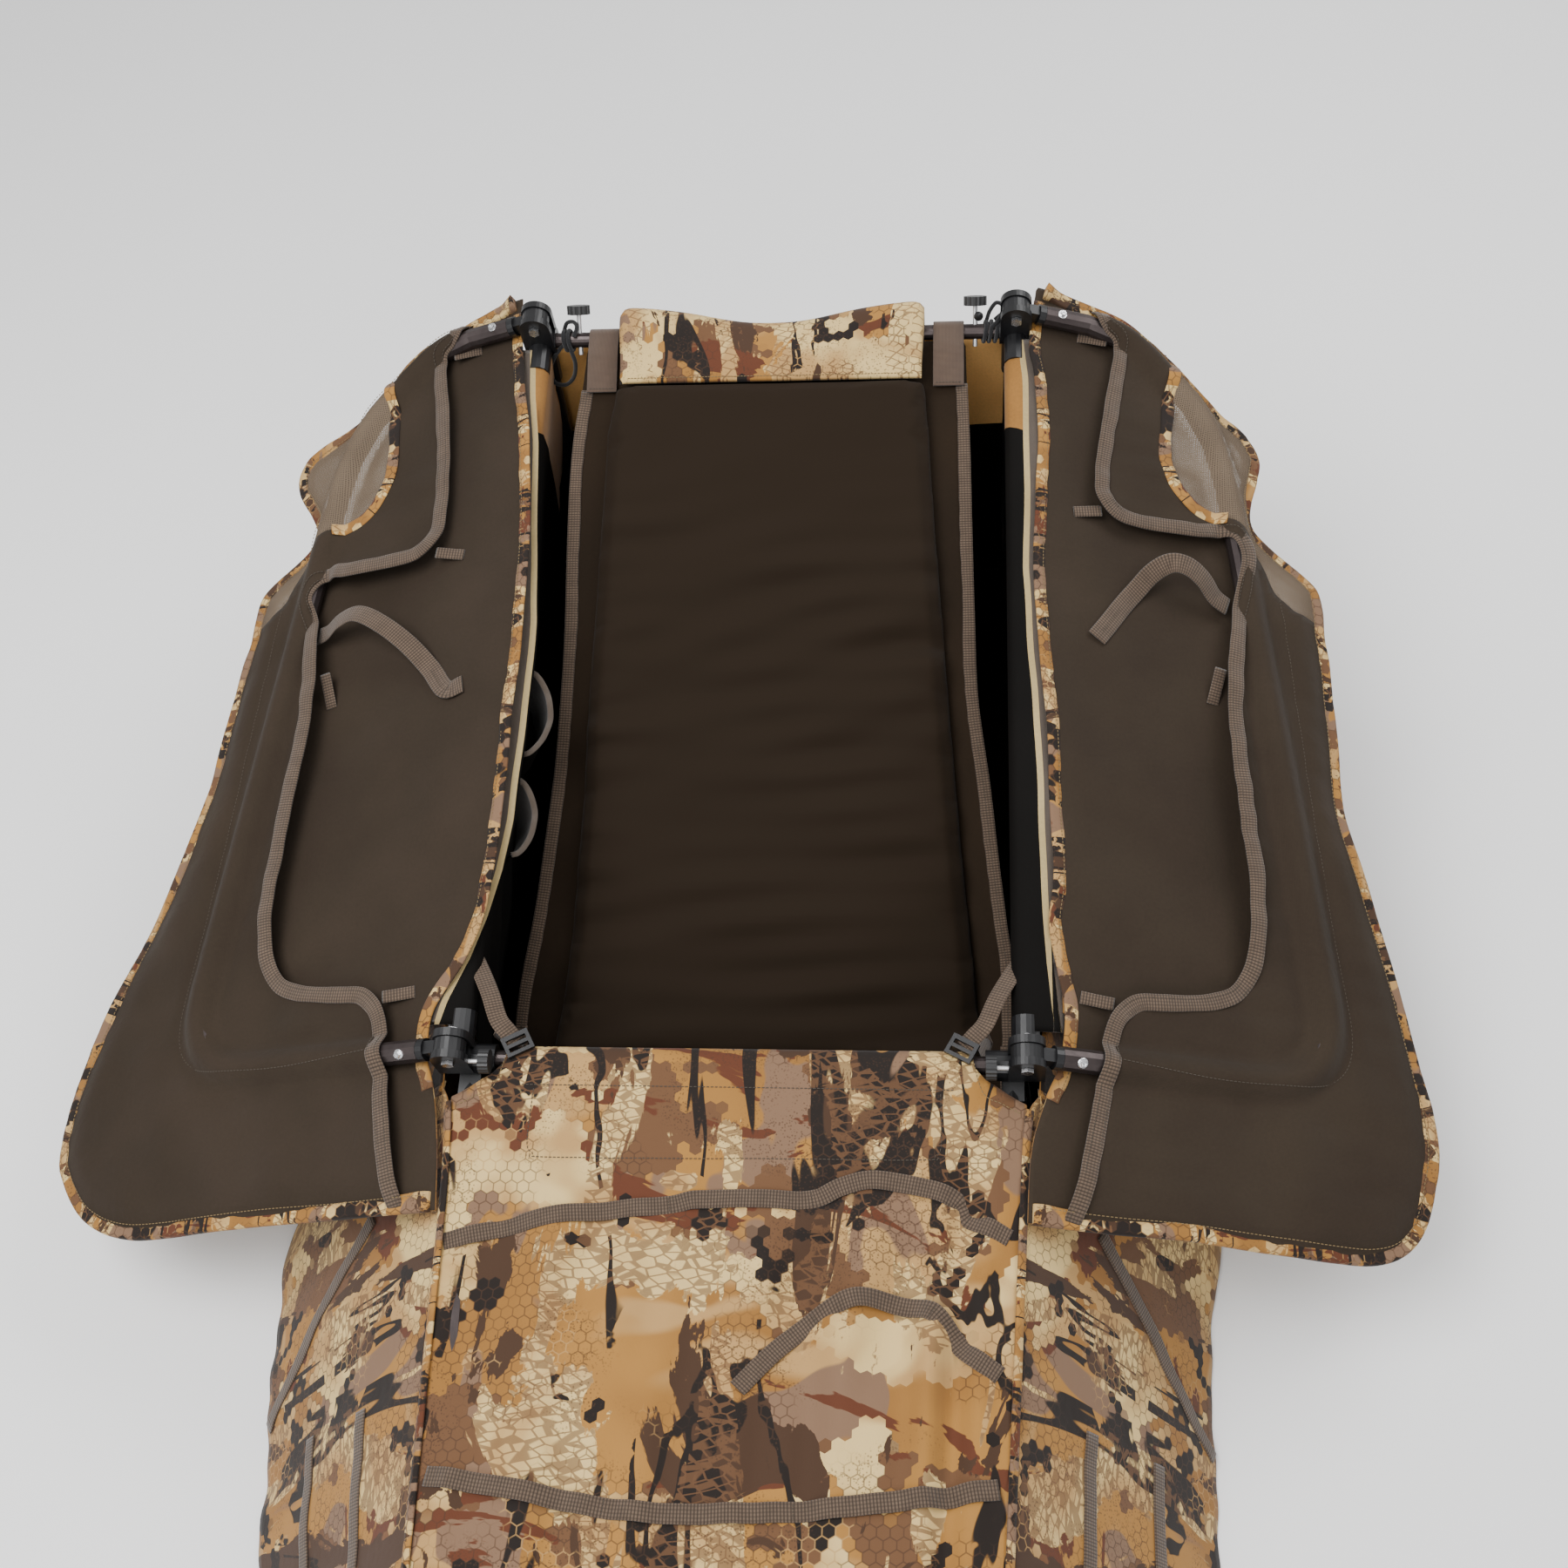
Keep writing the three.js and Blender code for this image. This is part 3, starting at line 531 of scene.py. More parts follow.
TAN = (0.335, 0.162, 0.037)
OCHRE = (0.26, 0.12, 0.028)
SAND = (0.41, 0.24, 0.088)
CREAM = (0.63, 0.45, 0.19)
BROWN = (0.125, 0.06, 0.027)
MAUVE = (0.185, 0.108, 0.064)
RUST = (0.098, 0.03, 0.013)
UMBER = (0.052, 0.026, 0.014)
SOOT = (0.013, 0.0085, 0.0065)


def camo(name, offset=(0.0, 0.0, 0.0), pale=0.0, zoom=1.0):
    """Marsh camouflage of our own: torn patches in earth colours under hexagon and scale line work."""
    material, tree, shader = new_material(name, 0.78, sheen=0.08, specular=0.2)
    uv = mapped(tree, uv_of(tree), location=offset)
    edge, cell = hex_cells(tree, uv, 0.0125)
    loose = mapped(tree, uv, (1, 0.5, 1), rotation=0.45)
    steep = mapped(tree, uv, (0.45, 1, 1), rotation=-0.6)

    def patch(vector, scale, seed, low, soft=0.012, detail=2.0, distortion=0.7):
        moved = mapped(tree, vector, location=(seed * 3.1, seed * 1.7, seed * 0.9))
        shade = noise_at(tree, moved, scale * zoom, detail, 0.55, distortion)
        return edge_mask(tree, shade, low - soft, low + soft)

    colour = mix_colour(tree, patch(loose, 4.0, 1, 0.5, 0.09), TAN, OCHRE)
    colour = mix_colour(tree, patch(steep, 5.0, 2, 0.58, 0.03), colour, SAND)
    colour = mix_colour(tree, patch(loose, 6.5, 3, 0.55, 0.008), colour, MAUVE)
    colour = mix_colour(tree, patch(cell, 6.0, 4, 0.57, 0.002), colour, BROWN)
    colour = mix_colour(tree, patch(steep, 7.5, 5, 0.59, 0.005, 5.0), colour, RUST)
    feather = mapped(tree, uv, (1, 0.4, 1), rotation=0.8)
    cream_hex = patch(cell, 5.0, 6, 0.60 - pale, 0.002)
    cream_torn = patch(feather, 7.0, 7, 0.565 - pale, 0.005, 7.0, 0.9)
    cream = math_node(tree, "MAXIMUM", cream_hex, cream_torn)
    tone = mix_colour(tree, patch(uv, 7.0, 12, 0.5, 0.12), CREAM, SAND)
    colour = mix_colour(tree, cream, colour, tone)
    colour = mix_colour(tree, patch(loose, 7.0, 8, 0.60, 0.004, 6.0, 1.0), colour, UMBER)
    twig = noise_at(tree, mapped(tree, uv, (1.0, 0.3, 1), (5, 2, 1), 1.1), 4.5 * zoom, 3.0, 0.55, 1.2)
    twig = math_node(tree, "ABSOLUTE", math_node(tree, "SUBTRACT", twig, 0.5))
    gate = patch(uv, 4.0, 9, 0.5, 0.004, 5.0)
    twig = edge_mask(tree, math_node(tree, "SUBTRACT", 0.022, twig), 0.0, 0.006)
    twig = math_node(tree, "MULTIPLY", twig, gate)
    colour = mix_colour(tree, twig, colour, SOOT)
    colour = mix_colour(tree, patch(cell, 8.0, 10, 0.64, 0.002), colour, SOOT)
    lines = edge_mask(tree, edge, 0.43, 0.465)
    fade = patch(uv, 6.0, 13, 0.49, 0.05)
    shown = math_node(tree, "MULTIPLY", lines, math_node(tree, "MULTIPLY", fade, 0.62))
    bright = patch(uv, 5.0, 14, 0.58, 0.01)
    colour = mix_colour(tree, shown, colour, mix_colour(tree, bright, UMBER, SAND))
    scales = node(tree, "ShaderNodeTexVoronoi", {
        "Vector": mapped(tree, uv, (1.0, 1.9, 1), rotation=0.5), "Scale": 62.0, "Randomness": 0.45,
    }, feature="DISTANCE_TO_EDGE").outputs[0]
    scale_lines = edge_mask(tree, math_node(tree, "SUBTRACT", 0.085, scales), 0, 0.03)
    scale_lines = math_node(tree, "MULTIPLY", scale_lines, math_node(tree, "MULTIPLY", cream_torn, 0.7))
    colour = mix_colour(tree, scale_lines, colour, BROWN)
    dots = node(tree, "ShaderNodeTexVoronoi", {"Vector": uv, "Scale": 330.0}).outputs[0]
    speckle = math_node(tree, "MULTIPLY", edge_mask(tree, math_node(tree, "SUBTRACT", 0.36, dots), 0, 0.08),
                        patch(uv, 6.0, 11, 0.54, 0.05))
    colour = mix_colour(tree, math_node(tree, "MULTIPLY", speckle, 0.55), colour, UMBER)
    tree.links.new(colour, shader.inputs["Base Color"])
    crease = noise_at(tree, uv, 14.0, 3.0, 0.55, 0.5)
    first = bumped(tree, shader, crease, 0.004, 0.5)
    bumped(tree, shader, weave_height(tree, uv, 0.0011), 0.00015, 0.5, first)
    return material


def anodised(name, dark, light, roughness, metallic):
    """Dark anodised tube with faint drawing marks and rub wear."""
    material, tree, shader = new_material(name, roughness, metallic=metallic)
    at = object_of(tree)
    marks = noise_at(tree, mapped(tree, at, (30, 600, 600)), 1.0, 2.0, 0.6)
    blotch = noise_at(tree, at, 24.0, 3.0, 0.6)
    colour = mix_colour(tree, edge_mask(tree, blotch, 0.35, 0.75), dark, light)
    tree.links.new(colour, shader.inputs["Base Color"])
    rough = node(tree, "ShaderNodeMapRange", {0: marks, 3: roughness - 0.08, 4: roughness + 0.14}).outputs[0]
    tree.links.new(rough, shader.inputs["Roughness"])
    bumped(tree, shader, marks, 0.0001, 0.4)
    return material


def moulded(name, dark, light, roughness):
    """Moulded plastic or rubber with a fine spark texture and handling marks."""
    material, tree, shader = new_material(name, roughness)
    at = object_of(tree)
    grain = noise_at(tree, at, 900.0, 2.0, 0.6)
    marks = noise_at(tree, at, 40.0, 4.0, 0.6)
    colour = mix_colour(tree, edge_mask(tree, marks, 0.45, 0.75), dark, light)
    tree.links.new(colour, shader.inputs["Base Color"])
    rough = node(tree, "ShaderNodeMapRange", {0: marks, 3: roughness - 0.1, 4: roughness + 0.15}).outputs[0]
    tree.links.new(rough, shader.inputs["Roughness"])
    bumped(tree, shader, grain, 0.00012, 0.35)
    return material


def bright_steel(name):
    material, tree, shader = new_material(name, 0.25, metallic=1.0)
    at = object_of(tree)
    scuff = noise_at(tree, at, 300.0, 3.0, 0.6)
    colour = mix_colour(tree, scuff, (0.62, 0.62, 0.63), (0.85, 0.85, 0.86))
    tree.links.new(colour, shader.inputs["Base Color"])
    rough = node(tree, "ShaderNodeMapRange", {0: scuff, 3: 0.15, 4: 0.4}).outputs[0]
    tree.links.new(rough, shader.inputs["Roughness"])
    return material


def netting(name):
    """Fine see-through window mesh in grey-brown."""
    material, tree, shader = new_material(name, 0.8, specular=0.3)
    uv = uv_of(tree)
    k = math.pi / 0.0022
    split = node(tree, "ShaderNodeSeparateXYZ", {0: uv})
    hole = math_node(tree, "MULTIPLY", *(ridges(tree, split.outputs[axis], k) for axis in (0, 1)))
    solid = math_node(tree, "SUBTRACT", 1.0, edge_mask(tree, hole, 0.45, 0.7))
    tree.links.new(mix_colour(tree, noise_at(tree, uv, 12.0), (0.10, 0.072, 0.048), (0.17, 0.125, 0.085)),
                   shader.inputs["Base Color"])
    tree.links.new(math_node(tree, "MULTIPLY_ADD", solid, 0.6, 0.4), shader.inputs["Alpha"])
    return material


LINER = fabric("liner_cloth", (0.026, 0.0172, 0.0105), (0.034, 0.0232, 0.0146), sheen=0.04, specular=0.18)
PAD = fabric("pad_cloth", (0.0145, 0.0083, 0.0038), (0.0195, 0.0112, 0.0053), sheen=0.04, specular=0.14)
INNER = fabric("inner_black_cloth", (0.003, 0.0024, 0.002), (0.0045, 0.0036, 0.003), sheen=0.0, specular=0.12)
REVERSE = fabric("camo_reverse_cloth", (0.235, 0.108, 0.026), (0.34, 0.163, 0.042), specular=0.12)
# painted light: a brighter copy of the reverse cloth, standing in for light shining through the thin cloth of
# the head end
PAINTED_BACKLIGHT_REVERSE = fabric("painted_backlight_reverse_cloth", (0.78, 0.40, 0.125), (0.97, 0.55, 0.19), specular=0.15)
POCKET = fabric("pocket_cloth", (0.045, 0.040, 0.036), (0.07, 0.062, 0.056), roughness=0.55)
CAMO = camo("camo_cloth", (0.0, 0.0, 0.0), 0.05, 1.9)
CAMO_BODY = camo("camo_body_cloth", (2.3, 1.1, 0.4), 0.02, 1.4)
CAMO_TRIM = camo("camo_trim_cloth", (4.1, 3.7, 1.2), 0.0, 2.4)
WEB = webbing("webbing_strap", (0.026, 0.017, 0.011), (0.138, 0.094, 0.064), 0.0032)
TAPE = webbing("edge_tape", (0.045, 0.033, 0.025), (0.115, 0.086, 0.063), 0.0011)
PIPING = fabric("cream_piping", (0.36, 0.265, 0.12), (0.46, 0.35, 0.17))
THREAD = fabric("sewing_thread", (0.16, 0.11, 0.05), (0.26, 0.18, 0.08))
DARK_THREAD = fabric("dark_thread", (0.05, 0.04, 0.03), (0.085, 0.068, 0.05))
TUBE = anodised("tube_anodised", (0.055, 0.043, 0.042), (0.085, 0.068, 0.066), 0.34, 0.75)
PLASTIC = moulded("black_plastic", (0.007, 0.007, 0.008), (0.012, 0.012, 0.013), 0.36)
BUNGEE = webbing("bungee_sheath", (0.006, 0.006, 0.007), (0.02, 0.02, 0.022), 0.0014)
STEEL = bright_steel("bright_steel")
NET = netting("window_netting")
WEB_WIDE = webbing("wide_webbing", (0.052, 0.034, 0.024), (0.14, 0.09, 0.062), 0.0013)


# ---------------------------------------------------------------- camera, lights and floor
def camera():
    """A 44 mm lens at standing height near the foot end, looking down at the opening."""
    pitch, yaw, roll = math.radians(63.98), math.radians(12.19), math.radians(-11.01)
    ahead = np.array([-math.sin(yaw) * math.cos(pitch), math.cos(yaw) * math.cos(pitch), -math.sin(pitch)])
    right = np.array([math.cos(yaw), math.sin(yaw), 0.0])
    above = np.cross(right, ahead)
    turned_right = math.cos(roll) * right + math.sin(roll) * above
    turned_up = -math.sin(roll) * right + math.cos(roll) * above

    def turned(d):
        return d[0] * EX + d[1] * ALONG + d[2] * UP

    data = bpy.data.cameras.new("camera")
    data.lens = 44.44
    data.sensor_width = 36.0
    made = bpy.data.objects.new("camera", data)
    bpy.context.scene.collection.objects.link(made)
    place = lean(236.0, -606.0, 1909.0)
    r, u, a = turned(turned_right), turned(turned_up), turned(ahead)
    made.matrix_world = Matrix((
        (r[0], u[0], -a[0], place[0]),
        (r[1], u[1], -a[1], place[1]),
        (r[2], u[2], -a[2], place[2]),
        (0, 0, 0, 1),
    ))
    bpy.context.scene.camera = made


def area_light(name, place, target, size, power, colour=(1, 1, 1)):
    data = bpy.data.lights.new(name, "AREA")
    data.shape = "RECTANGLE"
    data.size, data.size_y = size
    data.energy = power
    data.color = colour
    made = bpy.data.objects.new(name, data)
    made.location = place
    made.rotation_euler = (Vector(target) - Vector(place)).to_track_quat("-Z", "Y").to_euler()
    bpy.context.scene.collection.objects.link(made)


def studio():
    sky = bpy.data.worlds.new("studio")
    sky.use_nodes = True
    sky.node_tree.nodes["Background"].inputs[0].default_value = (1, 1, 1, 1)
    sky.node_tree.nodes["Background"].inputs[1].default_value = 0.68
    bpy.context.scene.world = sky
    area_light("key", (-1.2, -0.6, 3.4), (0, 0.2, 0.2), (2.2, 2.2), 135)
    area_light("fill", (1.8, 1.9, 2.8), (0, 0, 0.2), (2.4, 1.8), 60)
    area_light("front", (0.3, -3.0, 2.2), (0, 0, 0.2), (2.4, 1.4), 35)
    size = 30.0
    material, tree, shader = new_material("studio_floor", 0.9, specular=0.1)
    speck = noise_at(tree, object_of(tree), 3.0)
    colour = mix_colour(tree, speck, (0.93, 0.93, 0.93), (0.95, 0.95, 0.95))
    tree.links.new(colour, shader.inputs["Base Color"])
    verts = [(-size, -size, -0.0005), (size, -size, -0.0005), (size, size, -0.0005), (-size, size, -0.0005)]
    mesh_object("studio_floor", verts, [(0, 1, 2, 3)], [(0, 0), (1, 0), (1, 1), (0, 1)], [material])


camera()
studio()


# ---------------------------------------------------------------- pieces on any surface
def left_of(line):
    """Unit vectors to the left of a flat line's direction of travel."""
    t = unit(np.gradient(np.asarray(line, float), axis=0))
    return np.stack([-t[:, 1], t[:, 0]], -1)


def band(name, place, line, base, section, material, seed=0, pucker=0.0):
    """A strip along a flat line: place(a, b, height) puts it in space, base is the surface's height along the
    line, and section holds pairs of (distance to the left, height over base), all in mm."""
    line = np.asarray(line, float)
    rows = len(line)
    base = np.broadcast_to(np.asarray(base, float), (rows,))
    section = section_rows(section, rows)
    left = left_of(line)
    run = run_along(line)
    wave = pucker * ripple(run, run * 0, seed, 60, 14)
    wide = 1 + 0.06 * ripple(run, run * 0, seed + 7, 90, 25) if pucker else np.ones(rows)
    flat = line[:, None] + left[:, None] * section[..., 0:1] * wide[:, None, None]
    reach = np.clip(np.abs(section[..., 0] - section[..., 0].mean()) / 10, 0, 1)
    high = base[:, None] + section[..., 1] + wave[:, None] * (1 - 0.6 * reach) * np.sign(section[..., 1])
    points = place(flat[..., 0], flat[..., 1], high)
    return tidy_normals(mesh_object(name, points.reshape(-1, 3), tube_faces(rows, section.shape[1]),
                                    tube_uvs(run * MM, section[0]), [material]))


def wrap_section(inset, outset, over, under):
    """A binding folded round an edge: it covers inset mm inside and stands outset mm outside the edge."""
    r = 1.1
    return [(-outset, -under * 0.4), (-outset, over * 0.4), (-outset + r, over), (-outset + 3, over + 0.35),
            (inset * 0.5, over + 0.5), (inset - 2, over + 0.35), (inset, over - 0.5), (inset + 0.3, 0.05),
            (inset, -under + 0.5), (inset - 2, -under - 0.2), (-outset + 3, -under - 0.2),
            (-outset + r, -under)]


class Cutting:
    """A cloth cut to a flat outline: a grid of points in mm whose border is drawn onto the outline."""

    def __init__(self, keep_inside, keep_outside=(), step=6.0):
        smallest = min((np.asarray(p, float) for p in keep_inside), key=lambda p: np.prod(np.ptp(p, axis=0)))
        low, high = smallest.min(axis=0) - 2 * step, smallest.max(axis=0) + 2 * step
        a = np.arange(low[0], high[0] + step, step)
        b = np.arange(low[1], high[1] + step, step)
        self.points = np.stack(np.meshgrid(a, b, indexing="ij"), -1)
        middle = (self.points[:-1, :-1] + self.points[1:, 1:]) / 2
        keep = np.ones(middle.shape[:2], bool)
        for polygon in keep_inside:
            keep &= inside(middle, polygon)
        for polygon in keep_outside:
            keep &= ~inside(middle, polygon)
        self.keep = keep
        wider = np.pad(keep, 1)
        around = np.stack([wider[:-1, :-1], wider[1:, :-1], wider[:-1, 1:], wider[1:, 1:]])
        border = around.any(0) & ~around.all(0)
        spots = self.points[border]
        best = np.full(len(spots), 1e9)
        goal = spots.copy()
        for polygon in [*keep_inside, *keep_outside]:
            ring = np.vstack([polygon, polygon[:1]])
            for p, q in zip(ring[:-1], ring[1:]):
                d = q - p
                size = d @ d
                if size < 1e-9:
                    continue
                t = np.clip(((spots - p) @ d) / size, 0, 1)
                near = p + t[:, None] * d
                gap = np.linalg.norm(spots - near, axis=1)
                better = gap < best
                best[better] = gap[better]
                goal[better] = near[better]
        move = best < 1.3 * step
        spots[move] = goal[move]
        self.points[border] = spots

    def area(self):
        p = self.points
        a, b, c, d = p[:-1, :-1], p[1:, :-1], p[1:, 1:], p[:-1, 1:]

        def cross(p, q):
            return p[..., 0] * q[..., 1] - p[..., 1] * q[..., 0]

        return float((np.abs(cross(b - a, c - a) + cross(c - a, d - a)) / 2)[self.keep].sum()) * MM * MM

    def flat(self):
        used = np.zeros(self.points.shape[:2], bool)
        used[:-1, :-1] |= self.keep
        used[1:, 1:] |= self.keep
        size = np.ptp(self.points[used], axis=0) * MM
        return (float(size[0]), float(size[1]))

    def cloth(self, name, place, height, thick, materials, face=0):
        points = place(self.points[..., 0], self.points[..., 1], height)
        return cloth(name, points, self.points * MM, thick, materials, keep=self.keep, flip=face < 0)


def declare(piece, body, cut, stands_for=None):
    fit(piece, body, stands_for)
    cut.flat()
    cut.area()


# ---------------------------------------------------------------- doors
DOOR_OUTER = spline([(12, -167), (110, -169), (208, -170), (300, -173), (352, -175), (401, -174),
                     (436, -163), (462, -138), (479, -97), (484, -60), (480, -21), (471, 30), (462, 77),
                     (438, 167), (410, 260), (397, 320), (393, 369), (392, 430), (390, 485), (384, 530),
                     (375, 565), (372, 600), (366, 629), (350, 648), (330, 664), (306, 684), (294, 706),
                     (305, 740), (323, 775), (330, 806), (318, 833), (297, 848), (273, 860), (238, 888),
                     (198, 925), (168, 952), (135, 978), (90, 994), (45, 1006)],
                    300)
# how much further out each door's own outline falls, by distance towards the head, in mm
DOOR_GROWS = {
    "left": [(-175, 6), (-150, 22), (-90, 42), (0, 43), (100, 38), (250, 21), (370, 10), (480, 6), (565, 3),
             (629, 6), (704, 5), (779, 18), (833, 18), (880, 0), (925, -12), (980, -12), (1008, 0)],
    "right": [(-175, -18), (-90, -22), (0, -9), (100, -5), (250, 0), (370, 4), (480, 6), (565, 14), (629, 20),
              (680, 18), (704, 10), (779, -6), (833, -8), (880, 10), (925, 19), (980, 15), (1008, 0)],
}


def own_outline(side):
    """The shared outline of the doors with one door's own differences."""
    grow = lerp(DOOR_GROWS[side], DOOR_OUTER[:, 1]) * np.clip(DOOR_OUTER[:, 0] / 170, 0, 1)
    return DOOR_OUTER + np.stack([grow, 0 * grow], -1)


OUTLINE = {side: own_outline(side) for side in SIDES}
HINGE_EDGE = {
    "left": [(-167, 6), (-105, 12), (-39, 25), (0, 38), (49, 37), (100, 8), (153, -12), (213, -19),
             (275, -20), (400, -20), (532, -20), (655, -15), (785, 1), (854, 13), (924, 25), (965, 30),
             (1006, 34)],
    "right": [(-167, 6), (-94, 9), (-39, 26), (0, 42), (53, 49), (100, 42), (153, 34), (203, 39), (265, 39),
              (370, 36), (480, 29), (594, 24), (704, 28), (780, 33), (869, 28), (906, 22), (965, 28),
              (1006, 34)],
}
POCKET_EDGE = spline([(102, 972), (103, 950), (113, 938), (128, 925), (124, 890), (113, 833), (103, 770),
                      (97, 720), (100, 690), (122, 668), (150, 662), (184, 661), (225, 662), (252, 668),
                      (268, 664), (276, 640), (272, 610), (266, 579), (254, 520), (248, 471), (247, 420),
                      (248, 368), (252, 320), (254, 281), (257, 240), (258, 207), (256, 165), (250, 128),
                      (234, 102), (208, 90), (181, 84), (150, 81), (122, 78), (104, 66), (92, 50), (84, 25),
                      (75, -25), (60, -92), (44, -162)], 420)
# how far the step in each pocket's edge lies towards the head, in mm
STEP_SHIFT = {"left": -45.0, "right": 4.0}


def own_pocket_edge(side):
    """The shared edge of the pockets with its step where it lies on one door."""
    step = np.exp(-((POCKET_EDGE[:, 1] - 665) / 75.0) ** 2)
    return POCKET_EDGE + np.stack([0 * step, STEP_SHIFT[side] * step], -1)


POCKET_EDGES = {side: own_pocket_edge(side) for side in SIDES}
STITCH_LINE = spline([(84, 3), (200, -6), (280, -4), (325, 2), (352, 14), (368, 34), (374, 66), (370, 120),
                      (362, 190), (350, 330), (345, 410), (340, 480), (328, 610)], 260)
WINDOW = np.array([(206, 922), (200, 880), (195, 836), (190, 795), (191, 762), (198, 738), (212, 717),
                   (232, 702), (262, 696), (290, 680), (308, 646), (322, 610), (346, 586), (440, 570),
                   (440, 940), (206, 940)],
                  float)


def bend(start, corner, end, count=12):
    """A tube's bend: a quadratic curve from start to end, drawn towards corner."""
    t = np.linspace(0, 1, count)[:, None]
    return (1 - t) ** 2 * np.array(start) + 2 * (1 - t) * t * np.array(corner) + t**2 * np.array(end)


DOOR_TUBE_LINE = np.vstack([
    [(36.3, 0.0)], bend((250, 0), (356, 0), (344, 100)), bend((268, 750), (257, 844), (195, 893)),
    bend((195, 893), (150, 948), (110, 950)), [(36.3, 950.0)],
])


def door_heights(side, points):
    """Height of the door's inner cloth, and of the pocket cloth over the tube, in mm off the door's plane."""
    u, v = points[..., 0], points[..., 1]
    seed = 11 if side == "left" else 23
    tube = distance_to(points, DOOR_TUBE_LINE)
    edge = distance_to(points, POCKET_EDGES[side][::6])
    rim = distance_to(points, OUTLINE[side][::5])
    seam = distance_to(points, STITCH_LINE[::6])
    loose = smoothstep(tube, 14, 70)
    inner = -13.6 + loose * (2.6 * ripple(u, v, seed, 380, 110) - 1.2)
    inner = inner + 2.0 * loose * bump(v, 420, 200) * ripple(v * 0.7, u, seed + 1, 200, 70)
    radius = DOOR_TUBE_R + 2.2
    over = np.where(tube < radius, np.sqrt(np.maximum(radius**2 - tube**2, 0)), 0)
    soft = 26.5 * np.exp(-(tube / 24.0) ** 2)
    outer = np.maximum(inner + 3.4 + soft, over)
    gape = smoothstep(v, 100, 190) * (1 - smoothstep(v, 610, 668))
    outer = outer + (2.5 + 11.0 * gape) * np.exp(-(edge / 26.0) ** 2) * smoothstep(tube, 12, 40)
    fold = 2.0 * ripple(u, v, seed + 2, 240, 60) + 1.2 * ripple(v, u * 0.3, seed + 3, 60, 26) + 1.0
    outer = outer + smoothstep(tube, 18, 46) * smoothstep(rim, 2, 36) * fold
    outer = outer - 1.6 * np.exp(-(seam / 5.0) ** 2) * smoothstep(tube, 16, 30)
    hem = np.exp(-(rim / 24.0) ** 2) * smoothstep(tube, 14, 34)
    sway = 3.2 * ripple(v, u, seed + 4, 330, 110) * np.exp(-(rim / 60.0) ** 2) * smoothstep(tube, 14, 60)
    inner, outer = inner + sway, outer + sway
    outer = outer * (1 - hem) + (inner + 2.6) * hem
    return inner, outer


def near_heights(side, line):
    """The heights of both cloths along a line on the door."""
    inner, outer = door_heights(side, np.asarray(line, float)[:, None])
    return inner[:, 0], outer[:, 0]


